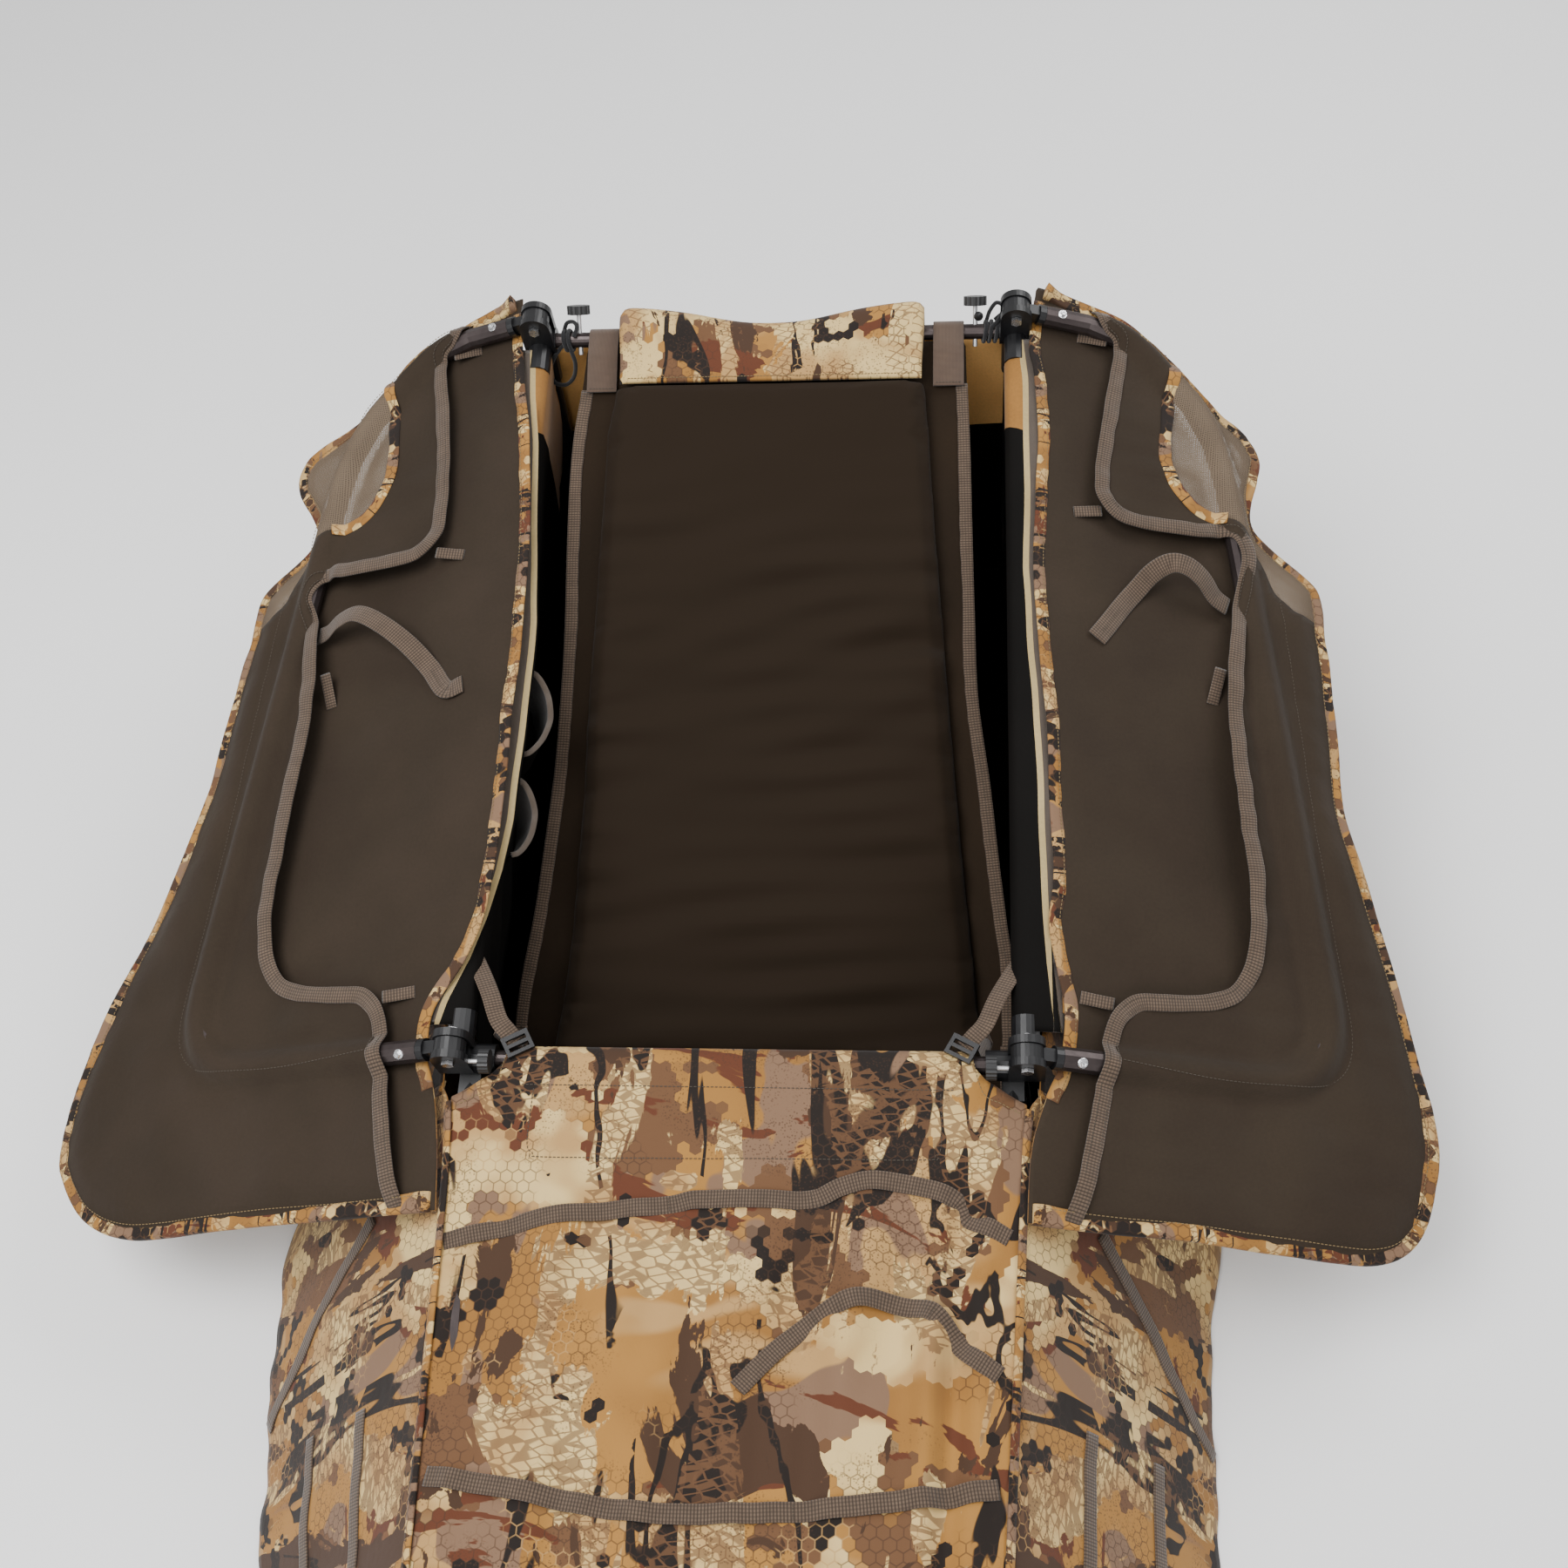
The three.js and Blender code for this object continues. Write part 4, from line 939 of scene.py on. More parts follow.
def door_cloth(side):
    """A door's inner cloth, the pocket cloth over its tube and its window, with all that is sewn on them."""
    body = f"door_{side}"
    edge = spline([(u, v) for v, u in HINGE_EDGE[side]], 200)
    outer_line = OUTLINE[side]
    outline = np.vstack([outer_line, edge[::-1]])
    line = POCKET_EDGES[side]
    pocket = np.vstack([line, [(44, -260), (600, -260), (600, 1100), (102, 1100)]])

    def place(u, v, n):
        return on_door(side, u, v, n)

    facing = int(SIGN[side])
    main = Cutting([outline], [WINDOW])
    inner, _ = door_heights(side, main.points)
    panel = main.cloth(f"door_cloth_{side}", place, inner, 1.8, [LINER, CAMO], facing)
    declare(panel, body, main, f"door_panel_{side}")

    over = Cutting([outline, pocket], [WINDOW])
    _, outer = door_heights(side, over.points)
    flap = over.cloth(f"door_pocket_{side}", place, outer, 1.2, [LINER, LINER], facing)
    declare(flap, body, over, f"door_flap_{side}")

    view = Cutting([outline, WINDOW])
    _, outer = door_heights(side, view.points)
    rim = distance_to(view.points, outer_line[::5])
    outer = outer - 5.0 * smoothstep(rim, 10, 50) * bump(view.points[..., 1], 800, 70)
    tube = distance_to(view.points, DOOR_TUBE_LINE)
    outer = np.maximum(outer, np.where(tube < 15, np.sqrt(np.maximum(15.0**2 - tube**2, 0)), -30))
    net = view.cloth(f"door_window_{side}", place, outer, 0.8, [NET, NET], facing)
    declare(net, body, view)

    trims = []
    inner, outer = near_heights(side, outer_line)
    gap = np.maximum(outer - inner, 2.0)
    section = np.stack([np.array(wrap_section(18.5, 1.5, g + 2.2, 3.0)) for g in gap])
    trims.append(band(f"door_binding_{side}", place, outer_line, inner, section, CAMO_TRIM, 31, 0.5))
    face = edge[::-1][4:-22]
    inner, _ = near_heights(side, face)
    section = wrap_section(13.5, 0.8, 1.4, 2.2)
    trims.append(band(f"door_edge_camo_{side}", place, face, inner, section, CAMO_TRIM, 6, 0.3))

    _, outer = near_heights(side, line)
    section = wrap_section(17.0, 1.0, 1.5, 2.6)
    trims.append(band(f"pocket_webbing_{side}", place, line, outer, section, WEB, 9, 0.15))
    frame_line = spline(WINDOW[:9], 90)
    _, outer = near_heights(side, frame_line)
    section = [(-8, 0.0), (-8, 1.0), (-6, 1.7), (0, 2.0), (6, 1.7), (8, 1.0), (8, 0.0), (6, -1.9), (-6, -1.9)]
    trims.append(band(f"window_binding_{side}", place, frame_line, outer, section, CAMO_TRIM, 12, 0.4))

    # each row: name, line, how far left of it and off the cloth, thread, whether on the pocket cloth
    for name, along, aside, raised, thread, on_pocket in (
        ("pocket_stitches", STITCH_LINE, 0.0, 0.1, DARK_THREAD, True),
        ("webbing_stitches_a", line, 3.5, 1.9, DARK_THREAD, True),
        ("webbing_stitches_b", line, 13.5, 1.7, DARK_THREAD, True),
        ("binding_stitches", outer_line, 14.0, 2.4, THREAD, True),
        ("edge_stitches", face, 10.5, 1.8, THREAD, False),
    ):
        row = along + left_of(along) * aside
        path = place(row[:, 0], row[:, 1], near_heights(side, row)[int(on_pocket)] + raised)
        trims.append(stitches(f"{name}_{side}", path, door_axes(side)[1], thread))
    step = 678 + STEP_SHIFT[side]
    tabs = (((120, 932), (86, 938)), ((106, step), (74, step - 3)), ((100, 68), (66, 74)),
            ((246, 492), (240, 452)))
    section = [(-7, 0), (-7, 1.3), (-6, 1.7), (6, 1.7), (7, 1.3), (7, 0)]
    for k, (start, end) in enumerate(tabs):
        line = spline([start, end], 8)
        lower, upper = near_heights(side, line)
        level = lower + (upper - lower) * np.linspace(0.5, 0.0, 8) + 0.2
        trims.append(band(f"pocket_tab_{side}_{k}", place, line, level, section, WEB))
    for piece in trims:
        fit(piece, body)


def pull_strap(side):
    """The webbing loop that the hunter pulls the door shut by: it arches out of the pocket."""
    routes = {
        "left": [(268, 550, -4), (250, 549, 2), (222, 552, 17), (190, 551, 25), (157, 533, 21), (125, 507, 6),
                 (98, 476, -9), (73, 444, -10.5), (50, 447, -10.8)],
        "right": [(262, 580, -4), (243, 587, 2), (222, 599, 16), (200, 608, 23), (180, 610, 20),
                  (162, 600, 8), (146, 580, -6), (131, 560, -10), (112, 532, -10.5), (97, 511, -10.8)],
    }
    route = spline(routes[side], 60)
    flat, high = route[:, :2], route[:, 2]
    section = np.array([(-12, 0), (-11.4, 0.9), (-9, 1.5), (9, 1.5), (11.4, 0.9), (12, 0), (9, -0.2),
                        (-9, -0.2)])
    twist = 0.25 * np.sin(np.linspace(0, 3.0, 60))
    shapes = np.stack([section @ [[math.cos(a), math.sin(a)], [-math.sin(a), math.cos(a)]] for a in twist])
    path = on_door(side, flat[:, 0], flat[:, 1], high)
    normal = door_axes(side)[1]
    made = sweep(f"pull_strap_{side}", path, normal, shapes, WEB)
    fit(made, f"door_{side}", f"door_handle_{side}")
    tip = path[-14:-3] + normal * 1.5 * MM
    fit(stitches(f"pull_strap_stitches_{side}", tip, normal, DARK_THREAD, 3.0, 2.0), f"door_{side}")


for door_side in SIDES:
    door_cloth(door_side)
    pull_strap(door_side)


# ---------------------------------------------------------------- hammock, pad and headrest
def profile(points, count):
    """Evenly spaced points and left-hand normals along a smooth (y, z) line, with the distance run."""
    line = spline(points, count)
    return line, left_of(line), run_along(line)


SLING_LINE, SLING_NORMAL, SLING_RUN = profile(
    [*(on_slope(d) for d in (20, 120, 300, 500, 700, 860)), (110, 93), (80, 76), (40, 61), (0, 52), (-60, 48),
     (-200, 47), (-500, 47), (-820, 47)], 500)
SLING_NORMAL = -SLING_NORMAL
SLING_LEFT = [(20, -238), (79, -243), (137, -250), (205, -253), (296, -253), (385, -252), (473, -254),
              (560, -258), (646, -265), (741, -275), (824, -288), (886, -293), (960, -292), (1800, -292)]
SLING_RIGHT = [(20, 238), (88, 240), (168, 243), (257, 245), (367, 248), (476, 252), (582, 266), (665, 275),
               (748, 285), (809, 293), (900, 294), (960, 292), (1800, 292)]


def along_sling(x, down, height):
    """x across, down the sling from 20 mm below its top, height off its face, in mm."""
    x, down, height = np.broadcast_arrays(np.asarray(x, float), down, height)
    at = down - 20.0
    y = np.interp(at, SLING_RUN, SLING_LINE[:, 0]) + height * np.interp(at, SLING_RUN, SLING_NORMAL[:, 0])
    z = np.interp(at, SLING_RUN, SLING_LINE[:, 1]) + height * np.interp(at, SLING_RUN, SLING_NORMAL[:, 1])
    return world(x, y, z)


def sling_height(x, down):
    """How far the hammock's edges curl up off its line, in mm."""
    rim = smoothstep(np.abs(x), 205, 285)
    lift = rim * smoothstep(down, 60, 140) * (1 - smoothstep(down, 860, 960))
    return (5.0 + 2.5 * ripple(down, x * 0, 41, 300, 90)) * lift - 1.5


def hammock():
    """The sling that hangs from the head tube and lies on the floor beyond the hips."""
    left = spline([(x, s) for s, x in SLING_LEFT], 160)
    right = spline([(x, s) for s, x in SLING_RIGHT], 160)
    end = 20.0 + SLING_RUN[-1]
    left, right = left[left[:, 1] < end], right[right[:, 1] < end]
    outline = np.vstack([left, right[::-1]])
    cut = Cutting([outline], step=8.0)
    height = sling_height(cut.points[..., 0], cut.points[..., 1])
    made = cut.cloth("hammock_cloth", along_sling, height, 2.0, [PAD, PAD], -1)
    declare(made, "frame", cut, "hammock_sling")
    for side, line in zip(SIDES, (left[::-1], right)):
        line = line[(line[:, 1] > 74) & (line[:, 1] < 1120)]
        base = sling_height(line[:, 0], line[:, 1])
        section = np.array(wrap_section(14.0, 1.0, 1.6, 3.4))
        inwards = 1 if left_of(line)[len(line) // 2, 0] * SIGN[side] < 0 else -1
        section[:, 0] *= inwards
        trim = band(f"hammock_webbing_{side}", along_sling, line, base, section, WEB, 3, 0.2)
        fit(trim, "frame")
        row = line + left_of(line) * 7.0 * inwards
        path = along_sling(row[:, 0], row[:, 1], sling_height(row[:, 0], row[:, 1]) + 2.1)
        fit(stitches(f"hammock_stitches_{side}", path, SLING_UP, DARK_THREAD), "frame")


PAD_LEFT = [(74, -204), (90, -207), (137, -217), (251, -221), (363, -225), (473, -229), (582, -231),
            (688, -235), (793, -241), (886, -251), (920, -252)]
PAD_RIGHT = [(74, 195), (90, 198), (145, 205), (257, 212), (367, 221), (475, 229), (582, 238), (686, 247),
             (789, 258), (880, 266), (920, 264)]
PAD_THICK = 28.0


def pad_edges(down):
    """How far left and right of the middle the pad reaches, in mm."""
    return lerp(PAD_LEFT, down), lerp(PAD_RIGHT, down)


def rounded(gap, radius):
    """0 at an edge to 1 at a radius from it, as a quarter circle."""
    t = np.clip(gap / radius, 0, 1)
    return np.sqrt(t * (2 - t))


def shell_faces(rows, columns):
    """Faces of two grids of points that are closed round their borders."""
    faces, n = [], rows * columns

    def quads(cells, step, both):
        for a in cells:
            b = a + step[0]
            if both:
                faces.extend([(a, b, b + 1, a + 1), (a + n, a + 1 + n, b + 1 + n, b + n)])
            else:
                faces.append((a, b, b + n, a + n))

    quads([i * columns + j for i in range(rows - 1) for j in range(columns - 1)], (columns,), True)
    quads([i * columns + j for i in range(rows - 1) for j in (0, columns - 1)], (columns,), False)
    quads([i * columns + j for j in range(columns - 1) for i in (0, rows - 1)], (1,), False)
    return faces


def back_pad():
    """A foam pad in a sewn cover. The cover is blown up by a short cloth simulation and then creased."""
    rows, columns = 96, 52
    down = np.linspace(76, 917, rows)
    left, right = pad_edges(down)
    across = (1 - np.cos(np.linspace(0, math.pi, columns))) / 2 * 0.35 + np.linspace(0, 1, columns) * 0.65
    x = (left[:, None] + 6) + (right - left - 12)[:, None] * across[None]
    s = np.broadcast_to(down[:, None], x.shape)
    near_side = np.minimum(x - left[:, None], right[:, None] - x) + 4
    near_end = np.minimum(s - 42, 929 - s)
    top = 3.0 + (PAD_THICK - 5.5) * rounded(near_side, 34.0) * rounded(near_end, 26.0)
    low = np.full_like(top, 2.6) + sling_height(x, s).clip(0, 9) * smoothstep(np.abs(x), 200, 250)
    top = np.maximum(top, low + 6)
    upper = along_sling(x, s, top)
    lower = along_sling(x, s, low)
    verts = np.concatenate([upper.reshape(-1, 3), lower.reshape(-1, 3)])
    uv = np.tile(np.stack([x, s], -1).reshape(-1, 2) * MM, (2, 1))
    made = tidy_normals(mesh_object("back_pad_cover", verts, shell_faces(rows, columns), uv, [PAD]))
    blow_up(made, 0.006, 3.2, 0.006)
    count = len(made.data.vertices)
    co = np.empty(count * 3)
    made.data.vertices.foreach_get("co", co)
    co = co.reshape(-1, 3)
    y, z = (co[:, 1] - HINGE_ORIGIN[1]) / MM, co[:, 2] / MM
    down_at = (SLING_TOP[0] - y) * math.cos(SLOPE) + (SLING_TOP[1] - z) * math.sin(SLOPE)
    high_at = (y - SLING_TOP[0]) * -math.sin(SLOPE) + (z - SLING_TOP[1]) * math.cos(SLOPE)
    x_at = co[:, 0] / MM
    left_at, right_at = pad_edges(down_at)
    reach = smoothstep(high_at, 8, 20)
    side_gap = np.minimum(x_at - left_at, right_at - x_at)
    tuck = np.exp(-(np.maximum(side_gap, 0) / 38.0) ** 2)
    pulls = np.abs(np.sin(down_at / 21.0 + 1.3 * ripple(down_at, x_at * 0.2, 51, 260, 90))) ** 0.6
    creases = -8.0 * tuck * (1 - pulls) * smoothstep(down_at, 230, 420)
    slack = 3.2 * ripple(down_at, x_at * 0.35, 52, 130, 40) * smoothstep(down_at, 150, 330)
    slack += 1.0 * ripple(x_at, down_at, 53, 240, 80)
    diagonal = 4.0 * bump(down_at, 420, 150) * ripple(down_at * 0.9 + x_at * 0.35, x_at * 0.1, 54, 110, 40)
    hollow = -2.5 * bump(x_at, 0, 120) * bump(down_at, 640, 260)
    move = reach * (creases + slack + diagonal + hollow)
    co += np.stack([np.zeros(count), -move * math.sin(SLOPE), move * math.cos(SLOPE)], -1) * MM
    made.data.vertices.foreach_set("co", co.ravel())
    made.data.update()
    refine = made.modifiers.new("smooth", "SUBSURF")
    refine.levels = refine.render_levels = 1
    apply_modifiers(made)
    fit(made, "frame", "back_pad")


def apply_modifiers(piece):
    """Keeps the piece's evaluated mesh and drops its modifiers."""
    graph = bpy.context.evaluated_depsgraph_get()
    graph.update()
    done = bpy.data.meshes.new_from_object(piece.evaluated_get(graph))
    done.name = piece.data.name
    piece.modifiers.clear()
    piece.data = done
    done.polygons.foreach_set("use_smooth", np.ones(len(done.polygons), bool))


def blow_up(piece, voxel, pressure, most, frames=20):
    """Inflates a closed piece as cloth, with no point moved further than most metres."""
    remesh = piece.modifiers.new("remesh", "REMESH")
    remesh.mode = "VOXEL"
    remesh.voxel_size = voxel
    remesh.use_smooth_shade = True
    apply_modifiers(piece)
    count = len(piece.data.vertices)
    start = np.empty(count * 3)
    piece.data.vertices.foreach_get("co", start)
    sim = piece.modifiers.new("cloth", "CLOTH")
    sim.settings.quality = 5
    sim.settings.mass = 0.35
    sim.settings.tension_stiffness = 12
    sim.settings.compression_stiffness = 12
    sim.settings.bending_stiffness = 0.4
    sim.settings.use_pressure = True
    sim.settings.uniform_pressure_force = pressure
    sim.settings.effector_weights.gravity = 0
    sim.collision_settings.use_collision = False
    sim.point_cache.frame_start, sim.point_cache.frame_end = 1, frames
    scene = bpy.context.scene
    for at in range(1, frames + 1):
        scene.frame_set(at)
    graph = bpy.context.evaluated_depsgraph_get()
    shaped = piece.evaluated_get(graph).to_mesh()
    end = np.empty(len(shaped.vertices) * 3)
    shaped.vertices.foreach_get("co", end)
    move = (end - start).reshape(-1, 3)
    size = np.linalg.norm(move, axis=1, keepdims=True)
    move *= np.minimum(1, most / np.maximum(size, 1e-9))
    piece.modifiers.clear()
    scene.frame_set(1)
    piece.data.vertices.foreach_set("co", (start.reshape(-1, 3) + move).ravel())
    piece.data.update()


# the head tube's middle and the radius of what goes round it, in the y and z of world(), in mm
HEAD_TUBE_Y, HEAD_TUBE_Z, LASHED_R = 937.56, 498.39, 12.4
HEAD_LINE = [(857, 498.5), (872, 507), (893, 515.5), (912, 520.5), (928, 523), (941, 522), (950, 516.5),
             (955.5, 506), (957, 490), (957, 468)]


def headrest():
    """The camouflaged pillow that folds over the head tube, high at its ends and dipped in the middle."""
    rows, columns = 44, 76
    line, normal, run = profile(HEAD_LINE, rows)
    half_left, half_right = -194.0, 187.0
    t = np.linspace(0, 1, columns)
    x = half_left + (half_right - half_left) * t[None] + np.zeros((rows, 1))
    pinch = smoothstep(run, 20, 90)[:, None]
    x = x * (1 - 0.015 * (1 - pinch))
    arch = np.abs(2 * t - 1)[None]
    rise = pinch * (19.0 * smoothstep(arch, 0.12, 0.97) - 7.0 * (1 - smoothstep(arch, 0.0, 0.6)))
    fade = 1 - smoothstep(run, 95, 130)[:, None]
    round_side = rounded(np.minimum(x - half_left, half_right - x), 16.0)
    b = run[:, None]
    soft = 1.6 * ripple(x, b, 61, 130, 45) * np.sin(np.clip(b / 90.0, 0, 1) * math.pi)
    soft += 1.2 * bump(b, 62, 14) * ripple(x, b * 0, 62, 70, 30)
    height = rise * fade + soft - 9.0 * (1 - round_side) * (1 - smoothstep(b, 96, 120))
    y = line[:, 0:1] + normal[:, 0:1] * height * 0.4
    z = line[:, 1:2] + normal[:, 1:2] * height * 0.4 + height * 0.6
    upper = world(x, y, z)
    inner = spline([(857, 494), (872, 494), (893, 494), (912, 503), (926, 511.5), (938, 513), (946, 511.5),
                    (951, 504), (953.5, 490), (953.5, 468)], rows)
    under_y = np.minimum(inner[:, 0:1] + 0 * x, y - 1.2 * (b > 60))
    lower = world(x, under_y, np.minimum(inner[:, 1:2] + 0 * x, z - 1.2))
    uv = np.tile(np.stack([x, b + 0 * x], -1).reshape(-1, 2) * MM, (2, 1))
    verts = np.concatenate([upper.reshape(-1, 3), lower.reshape(-1, 3)])
    made = tidy_normals(mesh_object("headrest_cover", verts, shell_faces(rows, columns), uv, [CAMO]))
    fit(made, "frame", "headrest")
    fit(stitches("headrest_stitches", upper[1, 2:-2] + SLING_UP * 0.4 * MM, SLING_UP, THREAD, 4.0), "frame")


def sling_loop(side):
    """A wide webbing strap that goes round the head tube and back onto the hammock's edge."""
    s = SIGN[side]
    middle = 217.0 * s
    turn = np.linspace(math.radians(115), math.radians(-150), 16)
    around = [(HEAD_TUBE_Y + LASHED_R * math.cos(a), HEAD_TUBE_Z + LASHED_R * math.sin(a)) for a in turn]
    top = [on_slope(d, 5.4) for d in (82, 70, 50, 30)]
    low = [on_slope(d, -7.0) for d in (36, 58, 78)]
    line = spline([*top, *around, *low], 90)
    outward = np.pad(-left_of(line), ((0, 0), (1, 0)))
    path = world(middle, line[:, 0], line[:, 1])
    made = sweep(f"sling_loop_strap_{side}", path, outward, strap_section(38.0, 1.8, -0.9), WEB_WIDE)
    fit(made, "frame", f"sling_loop_{side}")
    path = along_sling(np.linspace(middle - 16, middle + 16, 8), 78.0, 6.6)
    fit(stitches(f"sling_loop_stitches_{side}", path, SLING_UP, DARK_THREAD, 3.6), "frame")


# ---------------------------------------------------------------- liners, floor and outer body
def ruled(name, top, bottom, count, heights, materials, thick, uv_start=0.0, under=None, flip=False,
          gather=1.0):
    """A cloth between two matched lines in metres; heights(across 0..1, along) moves it off them in mm.
    gather packs that much more of the print into it. Returns the piece, its flat size, area and points."""
    t = np.linspace(0, 1, count)
    points = top[:, None] * (1 - t)[None, :, None] + bottom[:, None] * t[None, :, None]
    run = run_along((top + bottom) / 2)
    drop = np.linalg.norm(bottom - top, axis=1)
    uv = np.stack(np.broadcast_arrays(run[:, None] + uv_start, t[None] * drop[:, None] * gather), -1)
    normal = grid_normals(points, flip)
    move = heights(np.broadcast_to(t[None], uv.shape[:2]), uv[..., 0] / MM)
    points = points + normal * move[..., None] * MM
    points[..., 2] = np.maximum(points[..., 2], 2 * MM)
    made = cloth(name, points, uv, thick, materials, flip=flip, under=under)
    return made, (float(run[-1]), float(drop.max())), under_line(drop, run), points


# how far from the middle the cream edge over each rail lies, by distance towards the head, in mm
FACING_EDGE = {
    "left": [(34, 322), (60, 316), (109, 296), (153, 284), (213, 272), (275, 266), (439, 263), (532, 264),
             (655, 275), (785, 286), (854, 296), (924, 303)],
    "right": [(34, 330), (109, 322), (203, 318), (370, 315), (480, 309), (594, 304), (704, 307), (869, 307),
              (924, 302)],
}


# where the liner changes from black to tan, by distance towards the head, in mm
SEAM_AT = 775.0


def side_liner(side):
    """The body cloth along the side rail. Its brown tape and cream edge lie over the rail under the door,
    and it goes down to the floor as the black liner."""
    s = SIGN[side]
    count = 120
    v = np.linspace(34, 926, count)
    inner = lerp(FACING_EDGE[side], v) + 0.8 * ripple(v, v * 0, 70, 300, 90)
    tucked = smoothstep(inner, 268, 292)

    def over_rail(x):
        return np.minimum(-27.2, -(x - HINGE_X) * math.tan(DOOR_SLOPE) - 16 / math.cos(DOOR_SLOPE) - 2.2)

    steps = [(340 + 0 * v, 1), (328 + 0 * v, 1), ((328 + inner + 7) / 2, 1), (inner + 7, 2)]
    rows = [(x, over_rail(x), kind) for x, kind in steps]
    rows += [(inner, over_rail(inner) - 1.6 * (1 - tucked), 0),
             (np.minimum(inner - 0.8, 300), -27.4 - 2.4 * (1 - tucked), 0),
             (inner - 1.5 + (291 - inner + 1.5) * tucked, -32.5 + 1.9 * tucked, 0),
             (inner + 12 + (286 - inner - 12) * tucked, -35.5 - 2.5 * tucked, 0),
             (285.5 + 0 * v, -46.0 + 0 * v, 0)]
    lines = [lean(x * s, v, w) for x, w, _ in rows]
    kinds = [k for _, _, k in rows]
    lines.append(world(333.0 * s, np.linspace(48, 978, count), 24.0))
    grid, over = [], []
    for k, (a, b) in enumerate(zip(lines[:-1], lines[1:])):
        parts = 16 if k == len(lines) - 2 else 2
        for t in np.linspace(0, 1, parts, endpoint=False):
            grid.append(a * (1 - t) + b * t)
            over.append(kinds[k])
    grid.append(lines[-1])
    points = np.stack(grid, 1)
    step = np.linalg.norm(np.diff(points, axis=1), axis=2)
    drop = np.concatenate([np.zeros((count, 1)), np.cumsum(step, 1)], 1)
    slant = v[:, None] + 0.42 * np.minimum(drop / MM, 150) * bump(v, SEAM_AT, 65)[:, None]
    points = np.stack([[np.interp(slant[:, j], v, points[:, j, k]) for k in range(3)]
                       for j in range(points.shape[1])]).transpose(2, 0, 1)
    run = np.linspace(0, (v[-1] - v[0]) * MM, count)
    uv = np.stack([(np.minimum(slant, v[-1]) - v[0]) * MM, drop], -1)
    flip = s < 0
    wave = 4.0 * ripple(run[:, None] / MM, drop / MM, 71, 300, 90) * smoothstep(drop / MM, 120, 190)
    wave = wave * (1 - smoothstep(drop / MM, drop[:, -1:] / MM - 60, drop[:, -1:] / MM))
    points = points + grid_normals(points, flip) * wave[..., None] * MM
    shown = np.broadcast_to(np.array(over)[None], (count - 1, len(over)))
    lit = (v[:-1, None] > SEAM_AT) & (drop[:-1, :-1] < 260 * MM) & (shown == 0)
    shown = np.where(lit, 3, shown)
    made = cloth(f"side_liner_cloth_{side}", points, uv, 0.8, [INNER, TAPE, PIPING, REVERSE], flip=flip,
                 over=shown, under=shown * 0)
    fit(made, "frame", f"side_liner_{side}")


def side_pocket(name, start, end, deep, lean_in):
    """A small shiny pocket with a bound rim inside the left rail, from start to end along it, in mm."""
    rows, columns = 36, 24
    a = np.linspace(0, 1, rows)[:, None]
    t = np.linspace(0, 1, columns)[None]
    arch = np.sin(a * math.pi) ** 0.6
    v = start + (end - start) * (a + 0.06 * np.sin(t * 3) * (0.5 - a))
    x = -(268 - lean_in * arch * (1 - 0.5 * t) + 22 * t + 0 * v)
    w = -42 - 12 * arch * (1 - t) - deep * t * (0.55 + 0.45 * arch)
    w = w + 2.0 * ripple(v, w, 75, 70, 25)
    points = lean(x, v, w)
    uv = np.stack(np.broadcast_arrays(v, -w), -1) * MM
    made = fit(cloth(name, points, uv, 1.0, [POCKET, INNER]), "frame")
    fit(sweep(f"{name}_rim", points[:, 0], UP, strap_section(7.0, 2.0, -0.6), TAPE), "frame")


def floor_cloth():
    """The ground sheet, just above the ground."""
    corners = np.array([(-336, -855), (336, -855), (336, 984), (-336, 984)], float)
    cut = Cutting([corners], step=22.0)
    height = 2.2 + 0.9 * ripple(cut.points[..., 0], cut.points[..., 1], 72, 500, 160)

    def place(a, b, n):
        return world(a, b, 20.0 + n)

    made = cut.cloth("floor_cloth", place, height, 1.6, [INNER, INNER])
    declare(made, "frame", cut, "floor_pan")


COVER_LINE, COVER_NORMAL, COVER_RUN = profile(
    [(-3, 287), (10, 286.5), (20, 292), (22.8, 301), (19, 309.5), (8, 314), (-8, 313), (-30, 309.5),
     (-90, 299), (-170, 285), (-400, 272), (-650, 257), (-895, 243)], 460)
COVER_NORMAL = -COVER_NORMAL


def cover_edge(y):
    """Half width and height of the foot cover's edge."""
    return (np.interp(y, [-893, -170, -36, -30], [253, 294, 301, 301]),
            np.interp(y, [-893, -170, -36, -8], [238, 281, 304, 311]))


def cover_height(x, run):
    """Folds of the foot cover over its taut shape, in mm."""
    y = np.interp(run, COVER_RUN, COVER_LINE[:, 0])
    half, _ = cover_edge(y)
    rim = np.clip(np.abs(x) / half, 0, 1)
    free = smoothstep(-y, 60, 200) * (1 - smoothstep(-y, 830, 893)) * (1 - smoothstep(rim, 0.86, 1.0))
    strap = -3.2 * np.exp(-((y - np.interp(x, STRAP_ROUTE[:, 0], STRAP_ROUTE[:, 1])) / 15.0) ** 2)
    gathers = 9.5 * np.sin(x / 17.0 + 1.1 * ripple(y, x * 0, 81, 500, 160)) * bump(y, -235, 95)
    gathers = gathers * (0.35 + 0.65 * bump(x, 120, 100) + 0.4 * bump(x, -150, 60))
    deep = -13.0 * bump(x, 232 + 0.05 * (y + 230), 15) * smoothstep(-y, 60, 150)
    deep = deep + 9.0 * bump(x, 205 + 0.04 * (y + 230), 16) * smoothstep(-y, 70, 160)
    deep = deep * (1 - smoothstep(-y, 420, 700))
    waves = 7.5 * ripple(x, y * 0.45, 82, 260, 90) + 2.4 * ripple(x, y * 0.3, 83, 90, 34)
    sag = -9.0 * bump(x, 0, 170) * smoothstep(-y, 120, 500)
    seam = -1.1 * np.exp(-((run - HEM_SEAM) / 2.6) ** 2)
    return free * (gathers + deep + waves + sag) + strap * smoothstep(-y, 60, 110) + seam * (np.abs(x) < 228)


